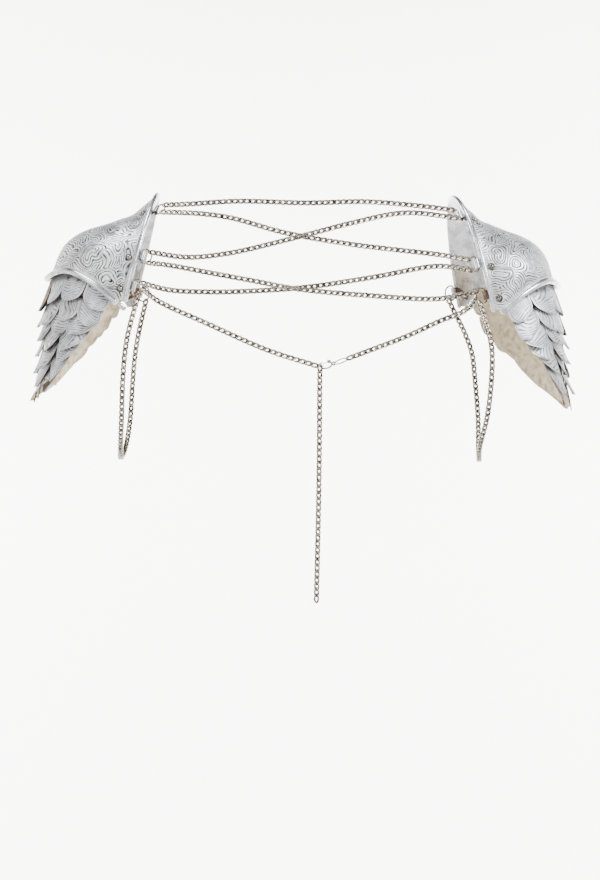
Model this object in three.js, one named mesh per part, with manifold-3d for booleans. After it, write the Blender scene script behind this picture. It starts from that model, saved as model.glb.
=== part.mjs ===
// Shoulder armour harness: two tooled-leather pauldrons with hanging rows of feathers, joined by curb
// chains across the back and under the arms, and fastened by one lobster clasp.
// Millimetres. +X is the wearer's right, +Y the wearer's front, +Z up. The origin is midway between the
// shoulders, at the height where the caps sit on them.
import * as THREE from "three";
import { mergeVertices } from "three/addons/utils/BufferGeometryUtils.js";
import Module from "manifold-3d";

const wasm = await Module();
wasm.setup();

// Driving dimensions
const clearance = 0.3;

// Shoulder cap
const collarReach = 128; // from the middle of the back to the top of the collar
const capReach = 96.5; // from the top of the collar out to the arm edge
const collarHeight = 35; // top of the collar above the origin
const capHeight = 95; // from the top of the collar down to the corners
const capDepth = 64; // from the top of the shoulder back, and forward, to the corners
const neckSplay = 26; // how much further out the corners lie than the collar
const neckSplayPower = 0.9;
const capWall = 2;
const hollowDrop = 80; // from the top of the collar down to the middle of the hollow
const neckRimRadius = 2;
const armRimRadius = 2.8;
const rimGap = 0.9; // between the edge of the cap's wall and the rims

// The arm edge from the top of the shoulder to a corner, in shares of capReach, capDepth and capHeight
const armEdgeTable = [
  { turn: 0, out: 1, back: 0, drop: 0.78 },
  { turn: 0.25, out: 0.89, back: 0.42, drop: 0.735 },
  { turn: 0.5, out: 0.75, back: 0.71, drop: 0.735 },
  { turn: 0.75, out: 0.55, back: 0.89, drop: 0.84 },
  { turn: 1, out: 0.35, back: 0.985, drop: 1 },
];

// How far the cap stands off the straight line from its neck edge to its arm edge, in shares of that line
const capSectionTable = [
  { share: 0, top: 0, corner: 0 },
  { share: 0.13, top: -0.006, corner: 0.05 },
  { share: 0.23, top: -0.012, corner: 0.09 },
  { share: 0.33, top: 0.021, corner: 0.12 },
  { share: 0.43, top: 0.055, corner: 0.14 },
  { share: 0.55, top: 0.102, corner: 0.15 },
  { share: 0.65, top: 0.125, corner: 0.145 },
  { share: 0.75, top: 0.12, corner: 0.12 },
  { share: 0.84, top: 0.085, corner: 0.085 },
  { share: 0.92, top: 0.035, corner: 0.045 },
  { share: 1, top: 0, corner: 0 },
];

// Tail of feathers
const armAxisReach = 172; // from the middle of the back out to the middle of the upper arm
const tailLength = 98;
const tailEdgeShare = 0.93; // how much of the arm edge carries the tail
const tailRound = 1.95; // how full the sides of the tail are
const tailTipShare = 0.05; // and how much of it the tip is wide
const tailFlare = { left: 7, right: 13 }; // how much further out the tip hangs than the arm edge
const tailTuck = 6; // how far the backing reaches up inside the cap
const backingWall = 1.5;
const featherWall = 1.5;
const featherCrown = 1;
const featherTuck = 7.2; // from the arm edge down to the top of the first row, clear of the rim
const featherGap = 2.6 * clearance; // between one row of feathers and the next, which is curved

// The rows of feathers from the top, with length and notch in shares of featherPitch
const featherTable = [
  { feathers: 7, facets: 3, length: 1.83, notch: 0.67, point: 0 },
  { feathers: 7, facets: 3, length: 1.92, notch: 0.67, point: 0.1 },
  { feathers: 6, facets: 3, length: 1.92, notch: 0.75, point: 0.2 },
  { feathers: 5, facets: 3, length: 2, notch: 0.83, point: 0.4 },
  { feathers: 5, facets: 3, length: 2.08, notch: 0.92, point: 0.6 },
  { feathers: 4, facets: 4, length: 2.33, notch: 1.17, point: 0.9 },
  { feathers: 1, facets: 8, length: 2.25, notch: 1.25, point: 1 },
];
const pitchesBelowRows = 0.57; // from where one more row would start down to the end of the backing
const featherPitch = (tailLength - featherTuck) / (featherTable.length + pitchesBelowRows);

// D-rings, tabs and rivets, placed along the neck edge from the back corner (-1) to the front corner (1)
const ringSites = { top: -0.36, mid: -0.72, low: -0.91, front: 0.91 };
const ringHalfWidth = 6.6;
const ringDepth = 8.3;
const ringWireRadius = 0.75;
const ringShoulderDepth = 0.76; // of the bow beside its middle, where chains share the ring
const ringShoulderSlope = 0.9;
const tabWidth = 8;
const tabWall = 1;
const rivetInset = 8; // from the neck edge to the middle of the rivet
const tabEnd = 3.4; // from the middle of the rivet to the end of the tab
const rivetHeadRadius = 3.2;
const rivetHeadHeight = 1.7;
const rivetShankRadius = 1.2;
const rivetTailRadius = 2.2;
const rivetTailHeight = 0.7;

// The right pauldron hangs a little lower and turned
const rightYaw = THREE.MathUtils.degToRad(10);
const rightTilt = THREE.MathUtils.degToRad(3.5);
const rightRoll = THREE.MathUtils.degToRad(2.5);
const rightDrop = 4.5;

// Chains, drawn as the round bar that the links fill
const chainRadius = 2.2;
const chainSides = 6;
const chainStep = 6 * chainRadius;
const hangingSteps = 5; // in the extension chain, which hangs nearly straight
const chainSpread = 5; // between chains that share a D-ring

// Clasp and the jump ring it hooks on
const claspHook = new THREE.Vector3(13.5, -88, -117);
const claspTilt = THREE.MathUtils.degToRad(-10);
const claspWall = 3.2;
const claspWire = 1.5;
const claspInnerLength = 8.6;
const claspInnerHeight = 4.4;
const claspEyeRadius = 1.9;
const claspEyeHole = 0.8;
const leverWall = 1.4;
const leverWidth = 0.8;
const leverDip = 1.25; // how far below the pivot the lever's tip lies
const leverNub = 0.5; // how far the thumb nub stands off the lever
const leverReach = 5.2; // from the pivot to the tip of the lever
const noseOverlap = 0.6; // of the body's nose over the tip of the lever
const pivotRadius = 0.5;
const jumpRingRadius = 2.6;
const jumpRingWire = 0.5;

const finish = {
  foil: new THREE.MeshStandardMaterial({ color: 0xc9cacc, roughness: 0.38, metalness: 0.7 }),
  rim: new THREE.MeshStandardMaterial({ color: 0xd6d7d9, roughness: 0.25, metalness: 0.8 }),
  hide: new THREE.MeshStandardMaterial({ color: 0x7a5b40, roughness: 0.85, metalness: 0 }),
  nickel: new THREE.MeshStandardMaterial({ color: 0xb9b6b0, roughness: 0.22, metalness: 1 }),
};

const up = new THREE.Vector3(0, 0, 1);

// Solids

// Turns every face of a closed mesh outward.
function facingOut(geometry) {
  const place = geometry.getAttribute("position");
  const corners = geometry.index.array;
  const [a, b, c] = [new THREE.Vector3(), new THREE.Vector3(), new THREE.Vector3()];
  let volume = 0;
  for (let i = 0; i < corners.length; i += 3) {
    a.fromBufferAttribute(place, corners[i]);
    b.fromBufferAttribute(place, corners[i + 1]);
    c.fromBufferAttribute(place, corners[i + 2]);
    volume += a.dot(b.cross(c));
  }
  if (volume < 0)
    for (let i = 0; i < corners.length; i += 3)
      [corners[i + 1], corners[i + 2]] = [corners[i + 2], corners[i + 1]];
  return geometry;
}

// Keeps only the positions of a geometry and joins its shared vertices.
function welded(geometry) {
  const bare = geometry.clone();
  bare.deleteAttribute("normal");
  bare.deleteAttribute("uv");
  return facingOut(mergeVertices(bare, 1e-4));
}

// A closed wall between two grids of points, which meet along their four edges.
function wall(columns, rows, facePoint, backPoint) {
  const points = [];
  const corners = [];
  const perFace = (columns + 1) * (rows + 1);
  for (const pointAt of [facePoint, backPoint])
    for (let i = 0; i <= columns; i++)
      for (let j = 0; j <= rows; j++) points.push(...pointAt(i / columns, j / rows).toArray());
  const index = (face, i, j) => face * perFace + i * (rows + 1) + j;
  const quad = (p, q, r, s) => corners.push(p, q, r, p, r, s);
  for (let i = 0; i < columns; i++)
    for (let j = 0; j < rows; j++) {
      quad(index(0, i, j), index(0, i + 1, j), index(0, i + 1, j + 1), index(0, i, j + 1));
      quad(index(1, i, j), index(1, i, j + 1), index(1, i + 1, j + 1), index(1, i + 1, j));
    }
  for (let i = 0; i < columns; i++) {
    quad(index(0, i, 0), index(1, i, 0), index(1, i + 1, 0), index(0, i + 1, 0));
    quad(index(0, i + 1, rows), index(1, i + 1, rows), index(1, i, rows), index(0, i, rows));
  }
  for (let j = 0; j < rows; j++) {
    quad(index(0, 0, j + 1), index(1, 0, j + 1), index(1, 0, j), index(0, 0, j));
    quad(index(0, columns, j), index(1, columns, j), index(1, columns, j + 1), index(0, columns, j + 1));
  }
  const geometry = new THREE.BufferGeometry();
  geometry.setAttribute("position", new THREE.Float32BufferAttribute(points, 3));
  geometry.setIndex(corners);
  return facingOut(geometry);
}

// A round bar along a curve, with flat ends.
function bar(curve, radius, sides, steps) {
  const section = new THREE.Shape();
  for (let i = 0; i < sides; i++) {
    const angle = (i / sides) * Math.PI * 2;
    const corner = [Math.cos(angle) * radius, Math.sin(angle) * radius];
    if (i === 0) section.moveTo(...corner);
    else section.lineTo(...corner);
  }
  section.closePath();
  return welded(new THREE.ExtrudeGeometry(section, { extrudePath: curve, steps, curveSegments: 1 }));
}

// A flat shape with its thickness centred on the plane it is drawn in.
function plate(shape, thickness, curveSegments = 6) {
  const geometry = new THREE.ExtrudeGeometry(shape, {
    depth: thickness,
    bevelEnabled: false,
    curveSegments,
  });
  return welded(geometry.translate(0, 0, -thickness / 2));
}

function solid(part) {
  return new wasm.Manifold(
    new wasm.Mesh({
      numProp: 3,
      vertProperties: new Float32Array(part.getAttribute("position").array),
      triVerts: new Uint32Array(part.index.array),
    }),
  );
}

function geometryOf(body) {
  const mesh = body.getMesh();
  const geometry = new THREE.BufferGeometry();
  geometry.setAttribute("position", new THREE.BufferAttribute(mesh.vertProperties, 3));
  geometry.setIndex(new THREE.BufferAttribute(mesh.triVerts, 1));
  return geometry;
}

// Shapes of one pauldron, drawn for the wearer's right

const probe = 0.02; // the step in turn and share at which slopes are measured

// Reads a column of a table between its rows, along the key column.
function readTable(table, key, column, at) {
  const last = table.length - 1;
  let row = 0;
  while (row < last - 1 && at > table[row + 1][key]) row++;
  const [low, high] = [table[row], table[row + 1]];
  const share = (at - low[key]) / (high[key] - low[key]);
  return THREE.MathUtils.lerp(low[column], high[column], share);
}

function armEdgePoint(row, facing) {
  return new THREE.Vector3(
    collarReach + row.out * capReach,
    facing * row.back * capDepth,
    collarHeight - row.drop * capHeight,
  );
}

const armEdgeCurve = new THREE.CatmullRomCurve3([
  ...armEdgeTable.slice(1).reverse().map((row) => armEdgePoint(row, -1)),
  ...armEdgeTable.map((row) => armEdgePoint(row, 1)),
]);

function neckEdge(turn) {
  const angle = (turn * Math.PI) / 2;
  const fallen = 1 - Math.cos(angle);
  return new THREE.Vector3(
    collarReach + neckSplay * Math.pow(fallen, neckSplayPower),
    capDepth * Math.sin(angle),
    collarHeight - capHeight * fallen,
  );
}

const armEdge = (turn) => armEdgeCurve.getPoint((turn + 1) / 2);
const capWidth = (turn) => armEdge(turn).distanceTo(neckEdge(turn));

// Which way the cap bulges off the line between its edges.
function capOutward(turn) {
  const [neck, arm] = [neckEdge(turn), armEdge(turn)];
  const across = arm.clone().sub(neck).normalize();
  const outward = neck.clone().add(arm).multiplyScalar(0.5);
  outward.sub(new THREE.Vector3(armAxisReach, 0, collarHeight - hollowDrop));
  return outward.addScaledVector(across, -outward.dot(across)).normalize();
}

// The middle of the cap's wall; share runs from the neck edge (0) to the arm edge (1).
function capSurface(turn, share) {
  const [neck, arm] = [neckEdge(turn), armEdge(turn)];
  const top = readTable(capSectionTable, "share", "top", share);
  const corner = readTable(capSectionTable, "share", "corner", share);
  const rise = THREE.MathUtils.lerp(top, corner, Math.abs(turn));
  return neck.clone().lerp(arm, share).addScaledVector(capOutward(turn), rise * capWidth(turn));
}

function capNormal(turn, share) {
  const [before, after] = [Math.max(-1, turn - probe), Math.min(1, turn + probe)];
  const along = capSurface(after, share).sub(capSurface(before, share));
  const across = capSurface(turn, share + probe).sub(capSurface(turn, share - probe));
  const normal = along.cross(across).normalize();
  return normal.dot(capOutward(turn)) < 0 ? normal.negate() : normal;
}

const capPoint = (turn, share, lift) =>
  capSurface(turn, share).addScaledVector(capNormal(turn, share), lift);

function capGeometry() {
  const columns = 18;
  const rows = 7;
  const point = (lift) => (along, across) => {
    const turn = along * 2 - 1;
    const start = (neckRimRadius + rimGap) / capWidth(turn);
    const end = 1 - (armRimRadius + rimGap) / capWidth(turn);
    return capPoint(turn, THREE.MathUtils.lerp(start, end, across), lift);
  };
  return wall(columns, rows, point(capWall / 2), point(-capWall / 2));
}

// A rolled rim, flush with the inner face of the cap's wall.
function rimGeometry(share, radius) {
  const points = [];
  const count = 16;
  for (let i = 0; i <= count; i++) {
    const turn = (i / count) * 2 - 1;
    points.push(capPoint(turn, share, radius - capWall / 2));
  }
  return bar(new THREE.CatmullRomCurve3(points), radius, 6, 18);
}

// How much of the arm edge the tail spans at a drop below it.
function tailHalfSpan(drop) {
  const left = Math.max(0, 1 - Math.max(0, drop) / tailLength);
  return Math.max(tailTipShare, tailEdgeShare * Math.pow(left, 1 / tailRound));
}

const backingLift = -(capWall / 2 + 3 * clearance + backingWall / 2);

// The middle of the backing; drop is measured down from the arm edge, and is negative inside the cap.
function tailPoint(turn, drop, lift, flare) {
  if (drop < 0) return capPoint(turn, 1 + drop / capWidth(turn), backingLift + lift);
  const edge = capPoint(turn, 1, backingLift);
  const radial = new THREE.Vector3(edge.x - armAxisReach, edge.y, 0).normalize();
  edge.z -= drop;
  return edge.addScaledVector(radial, (flare * drop) / tailLength + lift);
}

function backingGeometry(flare) {
  const columns = 12;
  const drops = [-tailTuck, 0, tailLength / 3, (tailLength * 2) / 3, tailLength];
  const rows = drops.length - 1;
  const point = (lift) => (along, down) => {
    const drop = drops[Math.round(down * rows)];
    return tailPoint((along * 2 - 1) * tailHalfSpan(drop), drop, lift, flare);
  };
  return wall(columns, rows, point(backingWall / 2), point(-backingWall / 2));
}

// How far a feather's lower end is cut back beside its middle: round for point 0, straight-sided for 1.
function featherCut(across, point) {
  const round = 1 - Math.sqrt(Math.max(0, 1 - across * across));
  return THREE.MathUtils.lerp(round, Math.abs(across), point);
}

// One row of feathers, laid like shingles over the next row.
function featherGeometry(rowIndex, flare) {
  const row = featherTable[rowIndex];
  const columns = row.feathers * row.facets;
  const top = featherTuck + rowIndex * featherPitch;
  const slope = (featherWall + featherGap) / featherPitch;
  const rowLength = row.length * featherPitch;
  const notch = row.notch * featherPitch;
  const downShares = [0, 1 / row.length, 1];
  const point = (thickness) => (along, down) => {
    const place = along * row.feathers;
    const across = (place - Math.min(row.feathers - 1, Math.floor(place))) * 2 - 1;
    const length = rowLength - notch * featherCut(across, row.point);
    const share = downShares[Math.round(down * (downShares.length - 1))];
    const fallen = share * length;
    const halfSpan = tailHalfSpan(top + share * (rowLength - notch));
    const crown = down === 1 ? featherCrown * (1 - across * across) : 0;
    const lift = backingWall / 2 + featherGap + slope * fallen + crown + thickness;
    return tailPoint((along * 2 - 1) * halfSpan, top + fallen, lift, flare);
  };
  return wall(columns, downShares.length - 1, point(featherWall), point(0));
}

// Where a D-ring, its tab and its rivet sit: x along the neck edge, y away from the cap, z outward.
function ringFrame(turn) {
  const normal = capNormal(turn, probe);
  const along = neckEdge(turn + probe).sub(neckEdge(turn - probe)).normalize();
  const away = normal.clone().cross(along).normalize();
  if (away.dot(armEdge(turn).sub(neckEdge(turn))) > 0) {
    away.negate();
    along.negate();
  }
  const outward = along.clone().cross(away);
  return new THREE.Matrix4().makeBasis(along, away, outward);
}

const tabLoopRadius = ringWireRadius + 1.5 * clearance + tabWall / 2;
const barOffset = neckRimRadius + clearance + tabWall / 2 + tabLoopRadius;
const tongueLift = -(capWall / 2 + 2 * clearance + tabWall / 2);

function ringPlace(turn) {
  const frame = ringFrame(turn);
  const [along, away, outward] = [new THREE.Vector3(), new THREE.Vector3(), new THREE.Vector3()];
  frame.extractBasis(along, away, outward);
  const middle = neckEdge(turn).addScaledVector(away, barOffset).addScaledVector(outward, tongueLift);
  return frame.setPosition(middle);
}

// The ring's outline from its straight bar out to its bow, in shares of its half width and depth.
const ringOutline = [
  [-0.8, 0],
  [-0.4, 0],
  [0.4, 0],
  [0.8, 0],
  [1, 0.3],
  [0.7, 0.82],
  [0, 1],
  [-0.7, 0.82],
  [-1, 0.3],
];

function ringGeometry(turn) {
  const points = ringOutline.map(([x, y]) => new THREE.Vector3(x * ringHalfWidth, y * ringDepth, 0));
  const curve = new THREE.CatmullRomCurve3(points, true);
  const ring = new THREE.TubeGeometry(curve, 12, ringWireRadius, 5, true);
  return welded(ring.applyMatrix4(ringPlace(turn)));
}

const rivetShare = (turn) => rivetInset / capWidth(turn);

// A frame on the cap's wall at a rivet, with z along the rivet.
function rivetPlace(turn) {
  const share = rivetShare(turn);
  const normal = capNormal(turn, share);
  const turned = new THREE.Quaternion().setFromUnitVectors(up, normal);
  return new THREE.Matrix4().compose(capSurface(turn, share), turned, new THREE.Vector3(1, 1, 1));
}

// A lathed solid about the z axis, from radius and height pairs that start and end on the axis.
function turned(profile, sides) {
  const points = profile.map(([radius, height]) => new THREE.Vector2(radius, height));
  return welded(new THREE.LatheGeometry(points, sides).rotateX(Math.PI / 2));
}

const rivetTailLift = tongueLift - tabWall / 2 - 2 * clearance;

function rivetGeometry(turn) {
  const seat = capWall / 2 + clearance;
  const profile = [
    [0, rivetTailLift - rivetTailHeight],
    [rivetTailRadius, rivetTailLift - rivetTailHeight],
    [rivetTailRadius, rivetTailLift],
    [rivetShankRadius, rivetTailLift],
    [rivetShankRadius, seat],
    [rivetHeadRadius, seat],
    [rivetHeadRadius * 0.75, seat + rivetHeadHeight * 0.8],
    [0, seat + rivetHeadHeight],
  ];
  return turned(profile, 6).applyMatrix4(rivetPlace(turn));
}

// The cutter of a rivet's hole through the cap and the tab.
function rivetHole(turn) {
  const radius = rivetShankRadius + clearance;
  const reach = capWall + tabWall + 2 * clearance + 1;
  const cutter = turned([[0, -reach], [radius, -reach], [radius, reach], [0, reach]], 6);
  return solid(cutter.applyMatrix4(rivetPlace(turn)));
}

// A leather strip riveted inside the cap, which passes under the rim and folds round the D-ring's bar.
function tabGeometry(turn) {
  const place = ringPlace(turn);
  const forward = neckEdge(turn + probe).sub(neckEdge(turn));
  const halfTurn = (probe * tabWidth) / 2 / forward.length();
  const facing = Math.sign(new THREE.Vector3(1, 0, 0).transformDirection(place).dot(forward));
  const rows = 4;
  const point = (lift) => (along, down) => {
    const side = along * 2 - 1;
    const folded = new THREE.Vector3((facing * side * tabWidth) / 2, -tabLoopRadius, lift);
    if (down === 1) return folded.applyMatrix4(place);
    const share = ((rivetInset + tabEnd) / capWidth(turn)) * (1 - down * (rows / (rows - 1)));
    return capPoint(turn + side * halfTurn, share, tongueLift + lift);
  };
  const tongue = wall(1, rows, point(tabWall / 2), point(-tabWall / 2));
  const ring = new THREE.Shape().absarc(0, 0, tabLoopRadius + tabWall / 2, 0, Math.PI * 2);
  ring.holes.push(new THREE.Path().absarc(0, 0, tabLoopRadius - tabWall / 2, 0, Math.PI * 2));
  const acrossRing = new THREE.Matrix4().makeRotationY(Math.PI / 2);
  const loop = plate(ring, tabWidth, 3).applyMatrix4(place.clone().multiply(acrossRing));
  return geometryOf(solid(loop).add(solid(tongue)).subtract(rivetHole(turn)));
}

function capWithHoles() {
  let body = solid(capGeometry());
  for (const turn of Object.values(ringSites)) body = body.subtract(rivetHole(turn));
  return geometryOf(body);
}

// All the solids of one pauldron, by their plain names.
function pauldronPieces(flare) {
  const pieces = [
    ["cap", capWithHoles(), finish.foil],
    ["neck_rim", rimGeometry(0, neckRimRadius), finish.rim],
    ["arm_rim", rimGeometry(1, armRimRadius), finish.rim],
    ["tail_backing", backingGeometry(flare), finish.hide],
  ];
  featherTable.forEach((row, i) =>
    pieces.push([`feather_row_${i + 1}`, featherGeometry(i, flare), finish.foil]),
  );
  for (const [site, turn] of Object.entries(ringSites)) {
    pieces.push([`${site}_ring`, ringGeometry(turn), finish.nickel]);
    pieces.push([`${site}_tab`, tabGeometry(turn), finish.hide]);
    pieces.push([`${site}_rivet`, rivetGeometry(turn), finish.nickel]);
  }
  return pieces;
}

function mesh(name, geometry, material) {
  const piece = new THREE.Mesh(geometry, material);
  piece.name = name;
  return piece;
}

const rightPlacement = new THREE.Matrix4().makeRotationFromEuler(
  new THREE.Euler(rightTilt, rightRoll, rightYaw),
);
const armAxisPoint = new THREE.Vector3(armAxisReach, 0, 0);
const rightShift = armAxisPoint.clone().sub(armAxisPoint.clone().applyMatrix4(rightPlacement));
rightPlacement.setPosition(rightShift.add(new THREE.Vector3(0, 0, -rightDrop)));
const leftPlacement = new THREE.Matrix4().makeScale(-1, 1, 1);
const placements = { left: leftPlacement, right: rightPlacement };

// Chains

// Where a chain leaves a D-ring's bow; slot -1, 0 or 1 runs along the ring from its upper end.
function ringAnchor({ side, ring, slot }) {
  const turn = ringSites[ring];
  const place = ringPlace(turn);
  const frame = new THREE.Matrix4().extractRotation(place);
  const upper = Math.sign(new THREE.Vector3(1, 0, 0).applyMatrix4(frame).z) || 1;
  const depth = slot === 0 ? 1 : ringShoulderDepth;
  const world = place.clone().premultiply(placements[side]);
  const along = -slot * upper;
  return {
    point: new THREE.Vector3(along * chainSpread, ringDepth * depth, 0).applyMatrix4(world),
    tangent: new THREE.Vector3(1, -along * ringShoulderSlope, 0).transformDirection(world),
  };
}

const jumpRingPoint = (x, y, z) => claspHook.clone().add(new THREE.Vector3(x, y, z));
const claspFrame = new THREE.Matrix4().makeRotationY(claspTilt);
const claspNose = claspInnerLength / 2 + claspWire / 2;
claspFrame.setPosition(claspHook.clone().sub(new THREE.Vector3(-claspNose, 0, 0).applyMatrix4(claspFrame)));
const claspEyeCentre = claspInnerLength / 2 + claspWire + claspEyeHole + clearance;
const claspEyeEnd = new THREE.Vector3(claspEyeCentre + claspEyeRadius, 0, 0).applyMatrix4(claspFrame);

// Where each chain runs. The middle points are chosen; the ends come from the rings and the clasp.
const chainRoutes = [
  {
    name: "top_chain",
    from: { side: "left", ring: "top", slot: -1 },
    through: [[-100, -45, 24], [-57, -49, 26.2], [2, -51, 24.5], [53, -49, 25.7], [99, -45, 22.5]],
    to: { side: "right", ring: "top", slot: -1 },
  },
  {
    name: "upper_cross_chain_left",
    from: { side: "left", ring: "top", slot: 1 },
    through: [
      [-91, -56, 15], [-63, -60, 11], [-17, -64, -2], [39, -63, -11.8], [79, -60, -16.5], [118, -61, -21],
    ],
    to: { side: "right", ring: "mid", slot: -1 },
  },
  {
    name: "upper_cross_chain_right",
    from: { side: "left", ring: "mid", slot: -1 },
    through: [
      [-100, -66, -23.3], [-64, -69, -20], [-24, -71, -11], [13, -70, -1.4], [39, -66, 5.6], [87, -57, 15.5],
    ],
    to: { side: "right", ring: "top", slot: 1 },
  },
  {
    name: "lower_cross_chain_left",
    from: { side: "left", ring: "mid", slot: 1 },
    through: [
      [-116, -71, -30.3], [-83, -76, -36.7], [-43, -80, -44.3], [-8, -82, -51], [58, -80, -57],
      [116, -75, -59.3],
    ],
    to: { side: "right", ring: "low", slot: -1 },
  },
  {
    name: "lower_cross_chain_right",
    from: { side: "left", ring: "low", slot: -1 },
    through: [
      [-116, -72, -51.6], [-83, -73, -53.4], [-43, -74, -52.6], [2, -75, -49.4], [58, -73, -41],
      [116, -68, -31],
    ],
    to: { side: "right", ring: "mid", slot: 1 },
  },
  {
    name: "clasp_chain_left",
    from: { side: "left", ring: "low", slot: 0 },
    through: [[-124, -76, -61.7], [-83, -82, -80.6], [-30, -88, -104]],
    end: jumpRingPoint(-jumpRingRadius - jumpRingWire - 1.4, 0, 0.8),
  },
  {
    name: "clasp_chain_right",
    from: { side: "right", ring: "low", slot: 0 },
    through: [[137, -76, -70], [117, -79, -78], [88, -83, -91.4], [50, -88, -106]],
    end: claspEyeEnd.clone().add(new THREE.Vector3(0.7, 0, 0.2)),
  },
  {
    name: "extension_chain",
    hangs: true,
    start: jumpRingPoint(0.4, -claspWall / 2 - chainRadius - 2 * clearance, -jumpRingWire - clearance),
    through: [[12.6, -92, -216.5]],
    end: new THREE.Vector3(10.4, -91, -316.6),
  },
  {
    name: "left_underarm_chain",
    from: { side: "left", ring: "low", slot: 1 },
    through: [
      [-151.5, -74, -94], [-155, -74, -129], [-156.5, -66, -160], [-159, -42, -186], [-161, 0, -196],
      [-159, 42, -186], [-156.5, 66, -160], [-155, 74, -129], [-151.5, 74, -94],
    ],
    to: { side: "left", ring: "front", slot: 1 },
  },
  {
    name: "right_underarm_chain",
    from: { side: "right", ring: "low", slot: 1 },
    through: [
      [160, -78, -100], [160, -76, -129], [157, -66, -160], [152, -42, -186], [154, 0, -198],
      [156, 42, -186], [157, 64, -160], [155, 72, -129], [151, 73, -98],
    ],
    to: { side: "right", ring: "front", slot: 1 },
  },
];

// A chain's end stands off the wire that its last link goes round, further where it meets the wire askew.
function chainEnd({ point, tangent }, next) {
  const direction = next.clone().sub(point).normalize();
  const skew = Math.abs(direction.dot(tangent));
  const standOff = ringWireRadius + 1.5 * clearance + 1.1 * chainRadius * skew;
  return point.clone().addScaledVector(direction, standOff);
}

function chainCurve(route) {
  const points = route.through.map((point) => new THREE.Vector3(...point));
  points.unshift(route.start ?? chainEnd(ringAnchor(route.from), points[0]));
  points.push(route.end ?? chainEnd(ringAnchor(route.to), points[points.length - 1]));
  return new THREE.CatmullRomCurve3(points, false, "centripetal");
}

function chainGeometry(route) {
  const curve = chainCurve(route);
  const steps = route.hangs ? hangingSteps : Math.round(curve.getLength() / chainStep);
  return bar(curve, chainRadius, chainSides, steps);
}

// Clasp

// The clasp is drawn in its own plane: x from the nose to the eye, y upward.
const pivotPlace = new THREE.Vector2(3.2, claspInnerHeight / 2 + claspWire / 2 - 0.5);
const claspPlane = claspFrame.clone().multiply(new THREE.Matrix4().makeRotationX(Math.PI / 2));

function ovalShape(length, height) {
  return new THREE.Shape().absellipse(0, 0, length / 2, height / 2, 0, Math.PI * 2);
}

function flatBox(x0, y0, x1, y1, thickness) {
  const box = new THREE.BoxGeometry(x1 - x0, y1 - y0, thickness);
  return solid(welded(box.translate((x0 + x1) / 2, (y0 + y1) / 2, 0)));
}

function claspBodyGeometry() {
  const hook = ovalShape(claspInnerLength + 2 * claspWire, claspInnerHeight + 2 * claspWire);
  hook.holes.push(ovalShape(claspInnerLength, claspInnerHeight));
  const noseEnd = pivotPlace.x - leverReach + noseOverlap;
  const mouth = flatBox(noseEnd, 0.2, pivotPlace.x - 1.2, claspInnerHeight, claspWall + 1);
  const slotRight = claspInnerLength / 2 + claspWire + 0.2;
  const slot = flatBox(pivotPlace.x - 1.3, 0.1, slotRight, claspInnerHeight, leverWall + 2 * clearance);
  const eyePlace = new THREE.Vector3(claspEyeCentre, 0, 0);
  const eye = plate(new THREE.Shape().absarc(0, 0, claspEyeRadius, 0, Math.PI * 2), claspWire);
  const eyeHole = plate(new THREE.Shape().absarc(0, 0, claspEyeHole, 0, Math.PI * 2), claspWall + 1, 4);
  const pin = plate(new THREE.Shape().absarc(0, 0, pivotRadius, 0, Math.PI * 2), claspWall - 0.4, 3);
  return geometryOf(
    solid(plate(hook, claspWall, 10))
      .subtract(mouth)
      .subtract(slot)
      .add(solid(eye.translate(...eyePlace)))
      .subtract(solid(eyeHole.translate(...eyePlace)))
      .add(solid(pin.translate(pivotPlace.x, pivotPlace.y, 0))),
  ).applyMatrix4(claspPlane);
}

function claspLeverGeometry() {
  const half = leverWidth / 2;
  const hub = pivotRadius + clearance + 0.5;
  const shape = new THREE.Shape();
  shape.moveTo(-leverReach, -leverDip - half);
  shape.lineTo(0, -hub);
  shape.absarc(0, 0, hub, -Math.PI / 2, Math.PI / 2);
  shape.lineTo(-hub, hub + leverNub);
  shape.lineTo(-2 * hub, hub / 2);
  shape.lineTo(-leverReach, -leverDip + half);
  shape.closePath();
  shape.holes.push(new THREE.Path().absarc(0, 0, pivotRadius + clearance, 0, Math.PI * 2));
  const lever = plate(shape, leverWall, 4).translate(pivotPlace.x, pivotPlace.y, 0);
  return lever.applyMatrix4(claspPlane);
}

function jumpRingGeometry() {
  const ring = new THREE.TorusGeometry(jumpRingRadius, jumpRingWire, 6, 14);
  return welded(ring.translate(...claspHook));
}

// The assembly

const harness = new THREE.Group();
for (const side of ["left", "right"]) {
  const pauldron = new THREE.Group();
  if (side === "right") rightPlacement.decompose(pauldron.position, pauldron.quaternion, pauldron.scale);
  for (const [name, geometry, material] of pauldronPieces(tailFlare[side])) {
    const shaped = side === "left" ? facingOut(geometry.applyMatrix4(leftPlacement)) : geometry;
    pauldron.add(mesh(`${side}_${name}`, shaped, material));
  }
  harness.add(pauldron);
}
for (const route of chainRoutes) harness.add(mesh(route.name, chainGeometry(route), finish.nickel));
harness.add(mesh("clasp_body", claspBodyGeometry(), finish.nickel));
harness.add(mesh("clasp_lever", claspLeverGeometry(), finish.nickel));
harness.add(mesh("jump_ring", jumpRingGeometry(), finish.nickel));

export default harness;
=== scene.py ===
"""Looks of a shoulder armour harness: two pauldrons of tooled, silvered leather joined by curb chains.

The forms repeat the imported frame's own sizes, in millimetres, and turn into metres as each mesh is made.
The local shapes are drawn for the wearer's right shoulder: +X outward, +Y forward, +Z up.
"""

import logging
import math
from dataclasses import dataclass, field
from enum import Enum
from typing import Any, Callable, Sequence

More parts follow.
